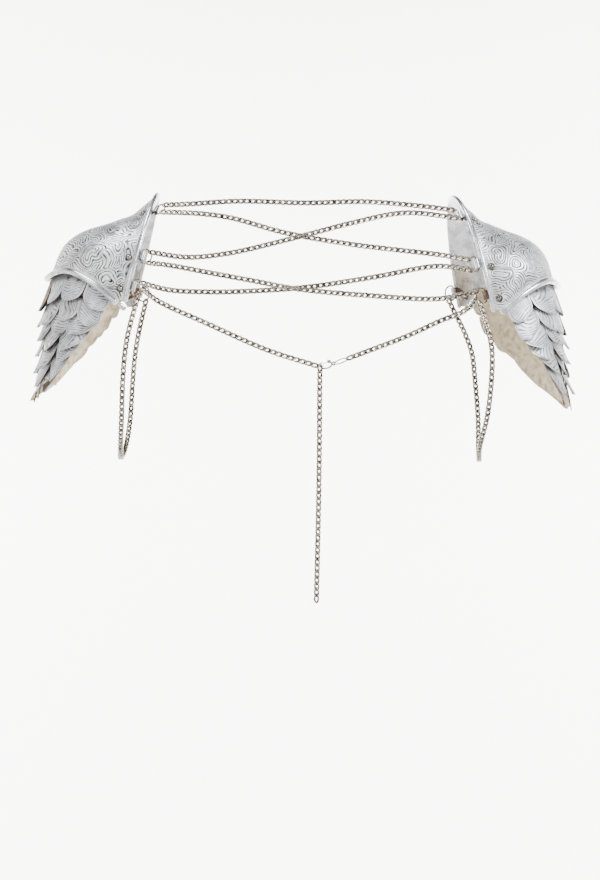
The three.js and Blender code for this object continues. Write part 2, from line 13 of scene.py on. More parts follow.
import bpy
import numpy as np
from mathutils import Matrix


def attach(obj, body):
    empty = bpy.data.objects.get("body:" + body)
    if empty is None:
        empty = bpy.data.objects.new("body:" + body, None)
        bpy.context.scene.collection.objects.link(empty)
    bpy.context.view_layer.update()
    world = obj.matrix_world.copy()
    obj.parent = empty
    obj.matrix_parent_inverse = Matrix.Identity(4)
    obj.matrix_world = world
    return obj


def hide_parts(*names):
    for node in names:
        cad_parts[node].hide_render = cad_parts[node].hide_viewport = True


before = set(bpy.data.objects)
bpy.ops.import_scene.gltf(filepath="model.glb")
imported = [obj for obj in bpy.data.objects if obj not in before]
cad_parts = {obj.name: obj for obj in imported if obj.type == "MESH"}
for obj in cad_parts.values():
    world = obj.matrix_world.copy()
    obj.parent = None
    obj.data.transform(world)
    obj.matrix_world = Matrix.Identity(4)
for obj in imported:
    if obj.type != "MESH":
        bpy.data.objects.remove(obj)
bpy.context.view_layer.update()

MM = 0.001
LOG = logging.getLogger("pauldrons")
HARNESS = "harness"
LEVER = "clasp_lever"


class Side(Enum):
    """The wearer's shoulder that a pauldron sits on."""

    LEFT = "left"
    RIGHT = "right"


class Slot(Enum):
    """The record's material slots."""

    TOOLED = "tooled_silver_leather"
    SMOOTH = "smooth_silver_rim"
    RAW = "raw_brown_leather"
    NICKEL = "nickel_plate"


def linear(hex_colour: str) -> tuple[float, float, float, float]:
    """Turns an sRGB hex colour into the linear values that a shader takes.

    Args:
        hex_colour: Six hex digits, such as "c0c4c8".

    Returns:
        Linear red, green and blue, and an alpha of 1.
    """
    shares = [int(hex_colour[i : i + 2], 16) / 255 for i in (0, 2, 4)]
    red, green, blue = (s / 12.92 if s <= 0.04045 else ((s + 0.055) / 1.055) ** 2.4 for s in shares)
    return red, green, blue, 1.0


def add_node(
    tree: bpy.types.NodeTree,
    kind: str,
    settings: dict[str, Any] | None = None,
    inputs: dict[str | int, Any] | None = None,
) -> bpy.types.Node:
    """Adds one node with its settings, values and links.

    Args:
        tree: The node tree that the node joins.
        kind: The node's Blender type.
        settings: Properties of the node by name.
        inputs: Values or output sockets by input name or number.

    Returns:
        The new node.
    """
    node = tree.nodes.new(kind)
    for name, value in (settings or {}).items():
        setattr(node, name, value)
    for name, value in (inputs or {}).items():
        if isinstance(value, bpy.types.NodeSocket):
            tree.links.new(value, node.inputs[name])
        else:
            node.inputs[name].default_value = value
    return node


def ramp(tree: bpy.types.NodeTree, factor: bpy.types.NodeSocket, stops: Sequence[tuple[float, Any]]) -> Any:
    """Maps a factor through colour stops.

    Args:
        tree: The material's node tree.
        factor: The socket that drives the ramp.
        stops: Positions and linear colours, in rising order.

    Returns:
        The ramp's colour socket.
    """
    node = add_node(tree, "ShaderNodeValToRGB", {}, {"Fac": factor})
    elements = node.color_ramp.elements
    while len(elements) < len(stops):
        elements.new(0.5)
    for element, (place, colour) in zip(elements, stops):
        element.position = place
        element.color = colour
    return node.outputs["Color"]


@dataclass(frozen=True)
class SilveredLeather:
    """Vegetable-tanned leather, tooled, then covered with silver foil and rubbed with grey antiquing.

    The foil gives broad, soft metallic highlights on the ridges. The antiquing stays in the grooves, so
    they read as thin dull grey lines, and fine pores of the leather break up the shine.
    """

    name: str = "silver_foiled_leather"
    ridge: str = "d6d7da"
    body: str = "aeb0b5"
    groove: str = "17181b"
    tarnish: str = "b0afac"
    metallic: float = 0.72
    ridge_roughness: float = 0.34
    groove_roughness: float = 0.7
    line_core: float = 0.7  # radians of the groove phase that are fully dark
    line_edge: float = 2.25  # radians at which the ridge begins
    line_depth: float = 0.3  # millimetres that the bump adds to the modelled grooves
    wear: float = 4.5  # millimetres across a stretch where the antiquing is rubbed away
    pore: float = 0.7  # millimetres between leather pores, drawn a little coarse so that they show
    patch: float = 16.0  # millimetres across a patch of tarnish
    pore_depth: float = 0.06

    def groove_mask(self, tree: bpy.types.NodeTree) -> bpy.types.NodeSocket:
        """Draws the grooves between the mesh's corners from the phase that the corners carry.

        Args:
            tree: The material's node tree.

        Returns:
            1 in the grooves and 0 on the ridges.
        """
        tooling = add_node(tree, "ShaderNodeAttribute", {"attribute_name": "tooling"}).outputs["Vector"]
        border = add_node(tree, "ShaderNodeAttribute", {"attribute_name": "border"}).outputs["Fac"]
        parts = add_node(tree, "ShaderNodeSeparateXYZ", {}, {"Vector": tooling}).outputs
        angle = add_node(tree, "ShaderNodeMath", {"operation": "ARCTAN2"}, {0: parts["Y"], 1: parts["X"]})
        off_line = add_node(tree, "ShaderNodeMath", {"operation": "ABSOLUTE"}, {0: angle.outputs["Value"]})
        line = add_node(
            tree,
            "ShaderNodeMapRange",
            {"interpolation_type": "SMOOTHSTEP"},
            {
                "Value": off_line.outputs["Value"],
                "From Min": self.line_core,
                "From Max": self.line_edge,
                "To Min": 1.0,
                "To Max": 0.0,
            },
        )
        cut = add_node(tree, "ShaderNodeMath", {"operation": "MULTIPLY"}, {0: line.outputs["Result"], 1: parts["Z"]})
        place = add_node(tree, "ShaderNodeTexCoord").outputs["Object"]
        wear = add_node(tree, "ShaderNodeTexNoise", {}, {"Vector": place, "Scale": 1 / (self.wear * MM), "Detail": 2.0})
        kept = add_node(
            tree,
            "ShaderNodeMapRange",
            {},
            {"Value": wear.outputs["Fac"], "From Min": 0.32, "From Max": 0.6, "To Min": 0.55, "To Max": 1.0},
        )
        worn = add_node(
            tree, "ShaderNodeMath", {"operation": "MULTIPLY"}, {0: cut.outputs["Value"], 1: kept.outputs["Result"]}
        )
        # The border value adds the lobes' deeper grooves and, on the feathers, their border line, their even grey and
        # the painted shade under the row above, all drawn darker like the grooves.
        return add_node(
            tree, "ShaderNodeMath", {"operation": "MAXIMUM"}, {0: worn.outputs["Value"], 1: border}
        ).outputs["Value"]

    def make(self) -> bpy.types.Material:
        """Builds the material from the tooling values that each tooled mesh carries."""
        material, tree, shader = new_material(self.name)
        place = add_node(tree, "ShaderNodeTexCoord").outputs["Object"]
        groove = self.groove_mask(tree)
        patches = add_node(
            tree,
            "ShaderNodeTexNoise",
            {},
            {"Vector": place, "Scale": 1 / (self.patch * MM), "Detail": 4.0, "Roughness": 0.6},
        ).outputs["Fac"]
        pores = add_node(
            tree,
            "ShaderNodeTexNoise",
            {},
            {"Vector": place, "Scale": 1 / (self.pore * MM), "Detail": 3.0, "Roughness": 0.65},
        ).outputs["Fac"]
        toned = ramp(
            tree,
            groove,
            [(0.0, linear(self.ridge)), (0.4, linear(self.body)), (1.0, linear(self.groove))],
        )
        tarnish = ramp(tree, patches, [(0.35, linear(self.tarnish)), (0.6, linear("ffffff"))])
        worn = add_node(
            tree,
            "ShaderNodeMix",
            {"data_type": "RGBA", "blend_type": "MULTIPLY"},
            {"Factor": 0.55, "A": toned, "B": tarnish},
        )
        colour = next(s for s in worn.outputs if s.type == "RGBA")
        tree.links.new(colour, shader.inputs["Base Color"])
        rough = add_node(
            tree,
            "ShaderNodeMapRange",
            {},
            {"Value": groove, "To Min": self.ridge_roughness - 0.1, "To Max": self.groove_roughness - 0.1},
        ).outputs["Result"]
        blotched = add_node(tree, "ShaderNodeMath", {"operation": "MULTIPLY_ADD"}, {0: patches, 1: 0.22, 2: rough})
        tree.links.new(blotched.outputs["Value"], shader.inputs["Roughness"])
        lines = add_node(
            tree,
            "ShaderNodeBump",
            {"invert": True},
            {"Height": groove, "Strength": 0.8, "Distance": self.line_depth * MM},
        )
        bump = add_node(
            tree,
            "ShaderNodeBump",
            {},
            {
                "Height": pores,
                "Strength": 0.5,
                "Distance": self.pore_depth * MM,
                "Normal": lines.outputs["Normal"],
            },
        )
        tree.links.new(bump.outputs["Normal"], shader.inputs["Normal"])
        shader.inputs["Metallic"].default_value = self.metallic
        return material


@dataclass(frozen=True)
class SmoothSilver:
    """Leather rolled over a cord and covered with smooth silver foil.

    The foil is drawn tight, so it gives long clear highlights along the rim with faint stretch ripples.
    """

    name: str = "smooth_silver_foil"
    bright: str = "bfc0c4"
    dull: str = "85878d"
    roughness: float = 0.2
    ripple: float = 9.0  # millimetres between stretch ripples
    grain: float = 0.9
    depth: float = 0.05

    def make(self) -> bpy.types.Material:
        """Builds the material of the rims and of the caps' inner faces."""
        material, tree, shader = new_material(self.name)
        place = add_node(tree, "ShaderNodeTexCoord").outputs["Object"]
        ripple = add_node(
            tree,
            "ShaderNodeTexNoise",
            {},
            {"Vector": place, "Scale": 1 / (self.ripple * MM), "Detail": 3.0, "Roughness": 0.55},
        ).outputs["Fac"]
        grain = add_node(
            tree, "ShaderNodeTexNoise", {}, {"Vector": place, "Scale": 1 / (self.grain * MM), "Detail": 2.0}
        ).outputs["Fac"]
        tree.links.new(
            ramp(tree, ripple, [(0.3, linear(self.dull)), (0.6, linear(self.bright))]), shader.inputs["Base Color"]
        )
        rough = add_node(
            tree,
            "ShaderNodeMapRange",
            {},
            {"Value": ripple, "From Min": 0.3, "From Max": 0.7, "To Min": self.roughness + 0.12, "To Max": self.roughness},
        )
        tree.links.new(rough.outputs["Result"], shader.inputs["Roughness"])
        bump = add_node(
            tree, "ShaderNodeBump", {}, {"Height": grain, "Strength": 0.4, "Distance": self.depth * MM}
        )
        tree.links.new(bump.outputs["Normal"], shader.inputs["Normal"])
        shader.inputs["Metallic"].default_value = 0.9
        return material


@dataclass(frozen=True)
class RawLeather:
    """Vegetable-tanned leather left bare on its flesh side and its cut edges.

    The loose fibres scatter light, so the brown is matt, mottled and a little fuzzy, with darker creases.
    """

    name: str = "raw_vegetable_tanned_leather"
    light: str = "72573f"
    middle: str = "4b392b"
    dark: str = "211812"
    roughness: float = 0.86
    mottle: float = 6.0
    fibre: float = 0.55
    depth: float = 0.12

    def make(self) -> bpy.types.Material:
        """Builds the bare leather of the backings, the tabs and the feathers' edges and backs."""
        material, tree, shader = new_material(self.name)
        place = add_node(tree, "ShaderNodeTexCoord").outputs["Object"]
        mottle = add_node(
            tree,
            "ShaderNodeTexNoise",
            {},
            {"Vector": place, "Scale": 1 / (self.mottle * MM), "Detail": 5.0, "Roughness": 0.6},
        ).outputs["Fac"]
        fibre = add_node(
            tree,
            "ShaderNodeTexNoise",
            {},
            {"Vector": place, "Scale": 1 / (self.fibre * MM), "Detail": 4.0, "Roughness": 0.7},
        ).outputs["Fac"]
        colour = ramp(
            tree,
            mottle,
            [(0.3, linear(self.dark)), (0.5, linear(self.middle)), (0.72, linear(self.light))],
        )
        tree.links.new(colour, shader.inputs["Base Color"])
        bump = add_node(tree, "ShaderNodeBump", {}, {"Height": fibre, "Strength": 0.7, "Distance": self.depth * MM})
        tree.links.new(bump.outputs["Normal"], shader.inputs["Normal"])
        shader.inputs["Roughness"].default_value = self.roughness
        shader.inputs["Sheen Weight"].default_value = 0.2
        return material


@dataclass(frozen=True)
class NickelPlate:
    """Steel wire, plated with nickel and tumbled.

    The plating is bright and faintly warm, and tumbling leaves small dents and a few duller spots that
    make the highlights sparkle.
    """

    name: str = "bright_nickel_plate"
    bright: str = "8d857a"
    dull: str = "423b33"
    roughness: float = 0.16
    spot: float = 3.0
    dent: float = 1.1
    depth: float = 0.03

    def make(self) -> bpy.types.Material:
        """Builds the plating of the chains, D-rings, rivets and clasp."""
        material, tree, shader = new_material(self.name)
        place = add_node(tree, "ShaderNodeTexCoord").outputs["Object"]
        spots = add_node(
            tree, "ShaderNodeTexNoise", {}, {"Vector": place, "Scale": 1 / (self.spot * MM), "Detail": 3.0}
        ).outputs["Fac"]
        dents = add_node(
            tree, "ShaderNodeTexNoise", {}, {"Vector": place, "Scale": 1 / (self.dent * MM), "Detail": 1.0}
        ).outputs["Fac"]
        tree.links.new(
            ramp(tree, spots, [(0.32, linear(self.dull)), (0.58, linear(self.bright))]), shader.inputs["Base Color"]
        )
        rough = add_node(
            tree,
            "ShaderNodeMapRange",
            {},
            {"Value": spots, "From Min": 0.3, "From Max": 0.7, "To Min": self.roughness + 0.14, "To Max": self.roughness},
        )
        tree.links.new(rough.outputs["Result"], shader.inputs["Roughness"])
        bump = add_node(tree, "ShaderNodeBump", {}, {"Height": dents, "Strength": 0.4, "Distance": self.depth * MM})
        tree.links.new(bump.outputs["Normal"], shader.inputs["Normal"])
        shader.inputs["Metallic"].default_value = 1.0
        return material


@dataclass(frozen=True)
class Backdrop:
    """Matt white paper, which gives a plain pale floor and back with no shine."""

    name: str = "matt_white_paper"
    colour: str = "dfdedc"

    def make(self) -> bpy.types.Material:
        """Builds the paper."""
        material, tree, shader = new_material(self.name)
        shader.inputs["Base Color"].default_value = linear(self.colour)
        shader.inputs["Roughness"].default_value = 0.95
        shader.inputs["Specular IOR Level"].default_value = 0.1
        return material


def new_material(name: str) -> tuple[bpy.types.Material, bpy.types.NodeTree, bpy.types.Node]:
    """Starts a node material.

    Args:
        name: The material's name.

    Returns:
        The material, its node tree and its Principled shader, linked to the output.
    """
    material = bpy.data.materials.new(name)
    material.use_nodes = True
    tree = material.node_tree
    tree.nodes.clear()
    shader = add_node(tree, "ShaderNodeBsdfPrincipled")
    add_node(tree, "ShaderNodeOutputMaterial", {}, {"Surface": shader.outputs["BSDF"]})
    return material, tree, shader


@dataclass(frozen=True)
class Finishes:
    """Every finish of the harness, made once."""

    tooled: bpy.types.Material
    smooth: bpy.types.Material
    raw: bpy.types.Material
    nickel: bpy.types.Material
    dark_nickel: bpy.types.Material
    lining: bpy.types.Material

    @classmethod
    def make(cls) -> "Finishes":
        """Builds the materials."""
        # A darker copy of the nickel plate, for the feather studs and for the rivets' washers, grooves and dome edges.
        dark_plate = NickelPlate("dark_nickel_plate", "6f6c68", "2a2826", 0.26)
        return cls(
            SilveredLeather().make(),
            SmoothSilver().make(),
            RawLeather().make(),
            NickelPlate().make(),
            dark_plate.make(),
            RawLeather("natural_leather_lining", "cfc2aa", "b5a68b", "8a7a60").make(),
        )


def unit(vectors: np.ndarray) -> np.ndarray:
    """Scales each vector of an array to length 1."""
    return vectors / np.maximum(np.linalg.norm(vectors, axis=-1, keepdims=True), 1e-12)


def blend(low: Any, high: Any, share: Any) -> Any:
    """Goes from low to high as share goes from 0 to 1."""
    return low + (high - low) * share


@dataclass(frozen=True)
class SmoothCurve:
    """A centripetal curve through chosen points, open at both ends."""

    points: Sequence[Sequence[float]]

    def at(self, shares: np.ndarray) -> np.ndarray:
        """Points on the curve.

        Args:
            shares: Places from 0 at the first point to 1 at the last.

        Returns:
            One point for each share.
        """
        knots = np.array(self.points, float)
        padded = np.vstack([2 * knots[:1] - knots[1:2], knots, 2 * knots[-1:] - knots[-2:-1]])
        place = np.clip(shares, 0, 1) * (len(knots) - 1)
        first = np.minimum(place.astype(int), len(knots) - 2)
        weight = (place - first)[..., None]
        p0, p1, p2, p3 = (padded[first + k] for k in range(4))
        d0, d1, d2 = (np.sqrt(np.linalg.norm(b - a, axis=-1, keepdims=True)) for a, b in ((p0, p1), (p1, p2), (p2, p3)))
        leave = ((p1 - p0) / d0 - (p2 - p0) / (d0 + d1) + (p2 - p1) / d1) * d1
        arrive = ((p2 - p1) / d1 - (p3 - p1) / (d1 + d2) + (p3 - p2) / d2) * d1
        square = -3 * p1 + 3 * p2 - 2 * leave - arrive
        cube = 2 * p1 - 2 * p2 + leave + arrive
        return p1 + leave * weight + square * weight**2 + cube * weight**3

    def by_length(self, samples: int = 2000) -> tuple[np.ndarray, np.ndarray]:
        """The curve as close points with the length run at each.

        Args:
            samples: How many points to take.

        Returns:
            The lengths and the points.
        """
        path = self.at(np.linspace(0, 1, samples))
        lengths = np.concatenate([[0], np.cumsum(np.linalg.norm(np.diff(path, axis=0), axis=1))])
        return lengths, path


@dataclass
class Draft:
    """A mesh in the making, in millimetres."""

    corners: np.ndarray
    quads: np.ndarray
    polygons: list[list[int]] = field(default_factory=list)
    finishes: np.ndarray | None = None
    tooling: np.ndarray | None = None

    def moved(self, place: Callable[[np.ndarray], np.ndarray]) -> "Draft":
        """The same mesh with its corners put through a placement."""
        return Draft(place(self.corners), self.quads, self.polygons, self.finishes, self.tooling)


def joined(drafts: Sequence[Draft]) -> Draft:
    """Joins meshes into one.

    Args:
        drafts: The meshes, which keep their finishes and their tooling.

    Returns:
        One mesh with all their corners and faces.
    """
    starts = np.cumsum([0] + [len(d.corners) for d in drafts])
    quads = np.vstack([d.quads + start for d, start in zip(drafts, starts)])
    polygons = [[c + int(start) for c in p] for d, start in zip(drafts, starts) for p in d.polygons]
    first = [d.finishes[: len(d.quads)] if d.finishes is not None else np.zeros(len(d.quads), int) for d in drafts]
    rest = [
        d.finishes[len(d.quads) :] if d.finishes is not None else np.zeros(len(d.polygons), int) for d in drafts
    ]
    tooling = None
    if all(d.tooling is not None for d in drafts):
        tooling = np.vstack([d.tooling for d in drafts])
    corners = np.vstack([d.corners for d in drafts])
    return Draft(corners, quads, polygons, np.concatenate(first + rest), tooling)


def grid_quads(columns: int, rows: int, start: int = 0) -> np.ndarray:
    """Faces of a grid of corners that run row by row within each column.

    Args:
        columns: Columns of corners.
        rows: Rows of corners.
        start: The first corner's number.

    Returns:
        The quads.
    """
    corner = np.arange(columns * rows).reshape(columns, rows) + start
    return np.stack([corner[:-1, :-1], corner[1:, :-1], corner[1:, 1:], corner[:-1, 1:]], -1).reshape(-1, 4)


def wall(front: np.ndarray, back: np.ndarray, tooling: np.ndarray | None = None) -> Draft:
    """A closed wall between a front grid and a back grid with as many columns and as many rows or fewer.

    Args:
        front: Corners of the front face, by column and row. Its rows less one divide by the back's.
        back: Corners of the back face.
        tooling: The four tooling values of each front corner.

    Returns:
        The wall, with finish 0 on its front face, 1 on its back and 2 on its edges.
    """
    columns, rows = front.shape[:2]
    back_rows = back.shape[1]
    stride = (rows - 1) // (back_rows - 1)
    start = columns * rows
    front_corner = np.arange(start).reshape(columns, rows)
    back_corner = np.arange(columns * back_rows).reshape(columns, back_rows) + start
    front_quads = grid_quads(columns, rows)
    back_quads = grid_quads(columns, back_rows, start)[:, ::-1]
    edges = []
    for row, back_row, flip in ((0, 0, False), (rows - 1, back_rows - 1, True)):
        strip = np.stack(
            [
                front_corner[:-1, row],
                back_corner[:-1, back_row],
                back_corner[1:, back_row],
                front_corner[1:, row],
            ],
            -1,
        )
        edges.append(strip[:, ::-1] if flip else strip)
    polygons = []
    for column, flip in ((0, True), (columns - 1, False)):
        for j in range(back_rows - 1):
            ring = [int(c) for c in front_corner[column, j * stride : (j + 1) * stride + 1]]
            ring += [int(back_corner[column, j + 1]), int(back_corner[column, j])]
            polygons.append(ring if flip else ring[::-1])
    quads = np.vstack([front_quads, back_quads, *edges])
    finishes = np.full(len(quads) + len(polygons), 2)
    finishes[: len(front_quads)] = 0
    finishes[len(front_quads) : len(front_quads) + len(back_quads)] = 1
    corners = np.vstack([front.reshape(-1, 3), back.reshape(-1, 3)])
    if tooling is not None:
        tooling = np.vstack([tooling.reshape(-1, 4), np.zeros((len(corners) - start, 4))])
    return Draft(corners, quads, polygons, finishes, tooling)


def tube(path: np.ndarray, side_hint: np.ndarray, radii: np.ndarray, sides: int, closed: bool = False) -> Draft:
    """A tube along a path.

    Args:
        path: Middle points of the tube.
        side_hint: A direction for each point that the section's first axis leans to.
        radii: The section's two half widths at each point, along the hint and across it.
        sides: Corners in each section.
        closed: Whether the last section joins the first.

    Returns:
        The tube, with flat ends unless it is closed.
    """
    if closed:
        ahead = np.roll(path, -1, axis=0) - np.roll(path, 1, axis=0)
    else:
        ahead = np.gradient(path, axis=0)
    ahead = unit(ahead)
    across = unit(np.cross(ahead, np.broadcast_to(side_hint, path.shape)))
    outward = np.cross(across, ahead)
    angles = np.linspace(0, 2 * math.pi, sides, endpoint=False)
    radii = np.broadcast_to(radii, (len(path), 2))
    ring = (
        path[:, None]
        + outward[:, None] * (np.cos(angles)[None, :, None] * radii[:, None, :1])
        + across[:, None] * (np.sin(angles)[None, :, None] * radii[:, None, 1:])
    )
    corner = np.arange(len(path) * sides).reshape(len(path), sides)
    corner = np.hstack([corner, corner[:, :1]])
    if closed:
        corner = np.vstack([corner, corner[:1]])
    quads = np.stack([corner[:-1, :-1], corner[:-1, 1:], corner[1:, 1:], corner[1:, :-1]], -1).reshape(-1, 4)
    polygons = []
    if not closed:
        polygons = [corner[0, :-1][::-1].tolist(), corner[-1, :-1].tolist()]
    return Draft(ring.reshape(-1, 3), quads, polygons)


def round_ended(path: np.ndarray, radius: float, steps: int = 5) -> tuple[np.ndarray, np.ndarray]:
    """Adds round ends to a tube's path.

    Args:
        path: Middle points of the tube.
        radius: The tube's radius.
        steps: Sections in each round end.

    Returns:
        The longer path, and the radius at each of its points.
    """
    angles = np.linspace(math.radians(84), 0, steps, endpoint=False)
    first = unit(path[0] - path[1])
    last = unit(path[-1] - path[-2])
    head = path[0] + first * (np.sin(angles) * radius)[:, None]
    tail = path[-1] + last * (np.sin(angles[::-1]) * radius)[:, None]
    ends = np.cos(angles) * radius
    return np.vstack([head, path, tail]), np.concatenate([ends, np.full(len(path), radius), ends[::-1]])


def turned(profile: Sequence[tuple[float, float]], sides: int) -> Draft:
    """A solid turned about the z axis.

    Args:
        profile: Radius and height pairs, from the axis at the bottom to the axis at the top.
        sides: Corners in each ring.

    Returns:
        The turned solid.
    """
    angles = np.linspace(0, 2 * math.pi, sides, endpoint=False)
    rings = np.array([[(r * math.cos(a), r * math.sin(a), z) for a in angles] for r, z in profile[1:-1]])
    corner = np.arange(rings.shape[0] * sides).reshape(-1, sides)
    corner = np.hstack([corner, corner[:, :1]])
    quads = np.stack([corner[:-1, :-1], corner[:-1, 1:], corner[1:, 1:], corner[1:, :-1]], -1).reshape(-1, 4)
    corners = np.vstack([rings.reshape(-1, 3), [(0, 0, profile[0][1])], [(0, 0, profile[-1][1])]])
    low, high = len(corners) - 2, len(corners) - 1
    polygons = [[low, int(corner[0, i + 1]), int(corner[0, i])] for i in range(sides)]
    polygons += [[high, int(corner[-1, i]), int(corner[-1, i + 1])] for i in range(sides)]
    return Draft(corners, quads, polygons)


def make_piece(
    name: str,
    draft: Draft,
    materials: Sequence[bpy.types.Material],
    replaces: Sequence[str] = (),
    body: str = HARNESS,
    mirrored: bool = False,
    crease: float = 50.0,
) -> bpy.types.Object:
    """Makes one piece of the harness, which rides on its body.

    Args:
        name: The piece's name.
        draft: Its mesh, in millimetres, where it sits on the harness.
        materials: Its finishes, in the order that the mesh numbers them.
        replaces: The frame's nodes that it stands for.
        body: The body that it moves with.
        mirrored: Whether the mesh was mirrored, so that its faces have to be turned over.
        crease: The angle in degrees above which an edge stays sharp.

    Returns:
        The new object.
    """
    faces = draft.quads.tolist() + draft.polygons
    if mirrored:
        faces = [face[::-1] for face in faces]
    mesh = bpy.data.meshes.new(name)
    mesh.from_pydata((draft.corners * MM).tolist(), [], faces)
    for material in materials:
        mesh.materials.append(material)
    if draft.finishes is not None:
        mesh.polygons.foreach_set("material_index", np.minimum(draft.finishes, len(materials) - 1).astype(np.int32))
    if draft.tooling is not None:
        lines = mesh.attributes.new("tooling", "FLOAT_VECTOR", "POINT")
        lines.data.foreach_set("vector", draft.tooling[:, :3].astype(np.float32).ravel())
        # The border value holds the lobes' deeper grooves and, on the feathers, also the painted shade under the row
        # above.
        borders = mesh.attributes.new("border", "FLOAT", "POINT")
        borders.data.foreach_set("value", draft.tooling[:, 3].astype(np.float32))
    mesh.polygons.foreach_set("use_smooth", [True] * len(mesh.polygons))
    mesh.set_sharp_from_angle(angle=math.radians(crease))
    mesh.update()
    piece = bpy.data.objects.new(name, mesh)
    bpy.context.scene.collection.objects.link(piece)
    if replaces:
        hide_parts(*replaces)
    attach(piece, body)
    mesh.calc_loop_triangles()
    LOG.info("%s: %d triangles on %s", name, len(mesh.loop_triangles), body)
    return piece


@dataclass(frozen=True)
class CapForm:
    """The curved sheet of a shoulder cap, drawn for the wearer's right.

    turn runs from the back corner (-1) over the top (0) to the front corner (1), and share from the neck
    edge (0) to the arm edge (1).
    """

    collar_reach: float = 128.0
    cap_reach: float = 96.5
    collar_height: float = 35.0
    cap_height: float = 95.0
    cap_depth: float = 64.0
    neck_splay: float = 26.0
    neck_splay_power: float = 0.9
    arm_axis_reach: float = 172.0
    hollow_drop: float = 80.0
    wall: float = 2.0
    ridge_softness: float = 0.15  # how gently the two halves of the cap meet over the top
    arm_edge_rows: tuple = (
        (1.0, 0.0, 0.78),
        (0.89, 0.42, 0.735),
        (0.75, 0.71, 0.735),
        (0.55, 0.89, 0.84),
        (0.35, 0.985, 1.0),
    )
    section_rows: tuple = (
        (0.0, 0.0, 0.0),
        (0.13, -0.006, 0.05),
        (0.23, -0.012, 0.09),
        (0.33, 0.021, 0.12),
        (0.43, 0.055, 0.14),
        (0.55, 0.102, 0.15),
        (0.65, 0.125, 0.145),
        (0.75, 0.12, 0.12),
        (0.84, 0.085, 0.085),
        (0.92, 0.035, 0.045),
        (1.0, 0.0, 0.0),
    )

    def neck_edge(self, turn: np.ndarray) -> np.ndarray:
        """Points of the neck edge at each turn."""
        angle = np.asarray(turn) * math.pi / 2
        fallen = 1 - np.cos(angle)
        return np.stack(
            [
                self.collar_reach + self.neck_splay * fallen**self.neck_splay_power,
                self.cap_depth * np.sin(angle),
                self.collar_height - self.cap_height * fallen,
            ],
            -1,
        )

    def arm_edge(self, turn: np.ndarray) -> np.ndarray:
        """Points of the arm edge at each turn."""
        rows = [(row, -1) for row in reversed(self.arm_edge_rows[1:])] + [(row, 1) for row in self.arm_edge_rows]
        points = [
            (
                self.collar_reach + out * self.cap_reach,
                facing * back * self.cap_depth,
                self.collar_height - drop * self.cap_height,
            )
            for (out, back, drop), facing in rows
        ]
        return SmoothCurve(points).at((np.asarray(turn, float) + 1) / 2)

    def width(self, turn: np.ndarray) -> np.ndarray:
        """The straight distance between the cap's edges at each turn."""
        return np.linalg.norm(self.arm_edge(turn) - self.neck_edge(turn), axis=-1)

    def outward(self, turn: np.ndarray) -> np.ndarray:
        """Which way the cap bulges off the straight line between its edges."""
        neck, arm = self.neck_edge(turn), self.arm_edge(turn)
        across = unit(arm - neck)
        middle = (neck + arm) / 2 - np.array([self.arm_axis_reach, 0, self.collar_height - self.hollow_drop])
        return unit(middle - across * (middle * across).sum(-1, keepdims=True))

    def surface(self, turn: np.ndarray, share: np.ndarray) -> np.ndarray:
        """Points in the middle of the cap's wall.

        Args:
            turn: Places along the cap's edges.
            share: Places from the neck edge to the arm edge.

        Returns:
            The points, in millimetres.
        """
        turn, share = np.broadcast_arrays(np.asarray(turn, float), np.asarray(share, float))
        section = SmoothCurve(self.section_rows).at(np.linspace(0, 1, 400))
        top = np.interp(share, section[:, 0], section[:, 1])
        corner = np.interp(share, section[:, 0], section[:, 2])
        soft = self.ridge_softness
        side = (np.sqrt(turn**2 + soft**2) - soft) / (math.sqrt(1 + soft**2) - soft)
        rise = blend(top, corner, side) * self.width(turn)
        line = blend(self.neck_edge(turn), self.arm_edge(turn), share[..., None])
        return line + self.outward(turn) * rise[..., None]

    def normal(self, turn: np.ndarray, share: np.ndarray) -> np.ndarray:
        """Unit vectors that point out of the cap's outer face."""
        probe = 0.02
        turn, share = np.broadcast_arrays(np.asarray(turn, float), np.asarray(share, float))
        along = self.surface(np.minimum(turn + probe, 1), share) - self.surface(np.maximum(turn - probe, -1), share)
        across = self.surface(turn, np.minimum(share + probe, 1)) - self.surface(turn, np.maximum(share - probe, 0))
        normal = unit(np.cross(along, across))
        facing = np.sign((normal * self.outward(turn)).sum(-1, keepdims=True))
        return normal * facing

    def point(self, turn: np.ndarray, share: np.ndarray, lift: Any) -> np.ndarray:
        """Points lifted off the middle of the cap's wall along its normal."""
        return self.surface(turn, share) + self.normal(turn, share) * np.asarray(lift)[..., None]


@dataclass(frozen=True)
class Placement:
    """Where a pauldron sits on the harness: the left one is mirrored, the right one hangs a little turned."""

    side: Side
    form: CapForm
    right_yaw: float = 10.0
    right_tilt: float = 3.5
    right_roll: float = 2.5
    right_drop: float = 4.5

    @property
    def mirrored(self) -> bool:
        """Whether this side turns faces over."""
        return self.side is Side.LEFT

    def turning(self) -> np.ndarray:
        """The rotation, or the mirroring, as a 3 by 3 matrix."""
        if self.mirrored:
            return np.diag([-1.0, 1.0, 1.0])
        x, y, z = (math.radians(a) for a in (self.right_tilt, self.right_roll, self.right_yaw))
        about_x = np.array([[1, 0, 0], [0, math.cos(x), -math.sin(x)], [0, math.sin(x), math.cos(x)]])
        about_y = np.array([[math.cos(y), 0, math.sin(y)], [0, 1, 0], [-math.sin(y), 0, math.cos(y)]])
        about_z = np.array([[math.cos(z), -math.sin(z), 0], [math.sin(z), math.cos(z), 0], [0, 0, 1]])
        return about_x @ about_y @ about_z

    def points(self, local: np.ndarray) -> np.ndarray:
        """Local points, moved to their place on the harness."""
        turning = self.turning()
        if self.mirrored:
            return local @ turning.T
        axis = np.array([self.form.arm_axis_reach, 0, 0])
        shift = axis - turning @ axis - np.array([0, 0, self.right_drop])
        return local @ turning.T + shift

    def directions(self, local: np.ndarray) -> np.ndarray:
        """Local directions, turned as the pauldron is."""
        return unit(local @ self.turning().T)


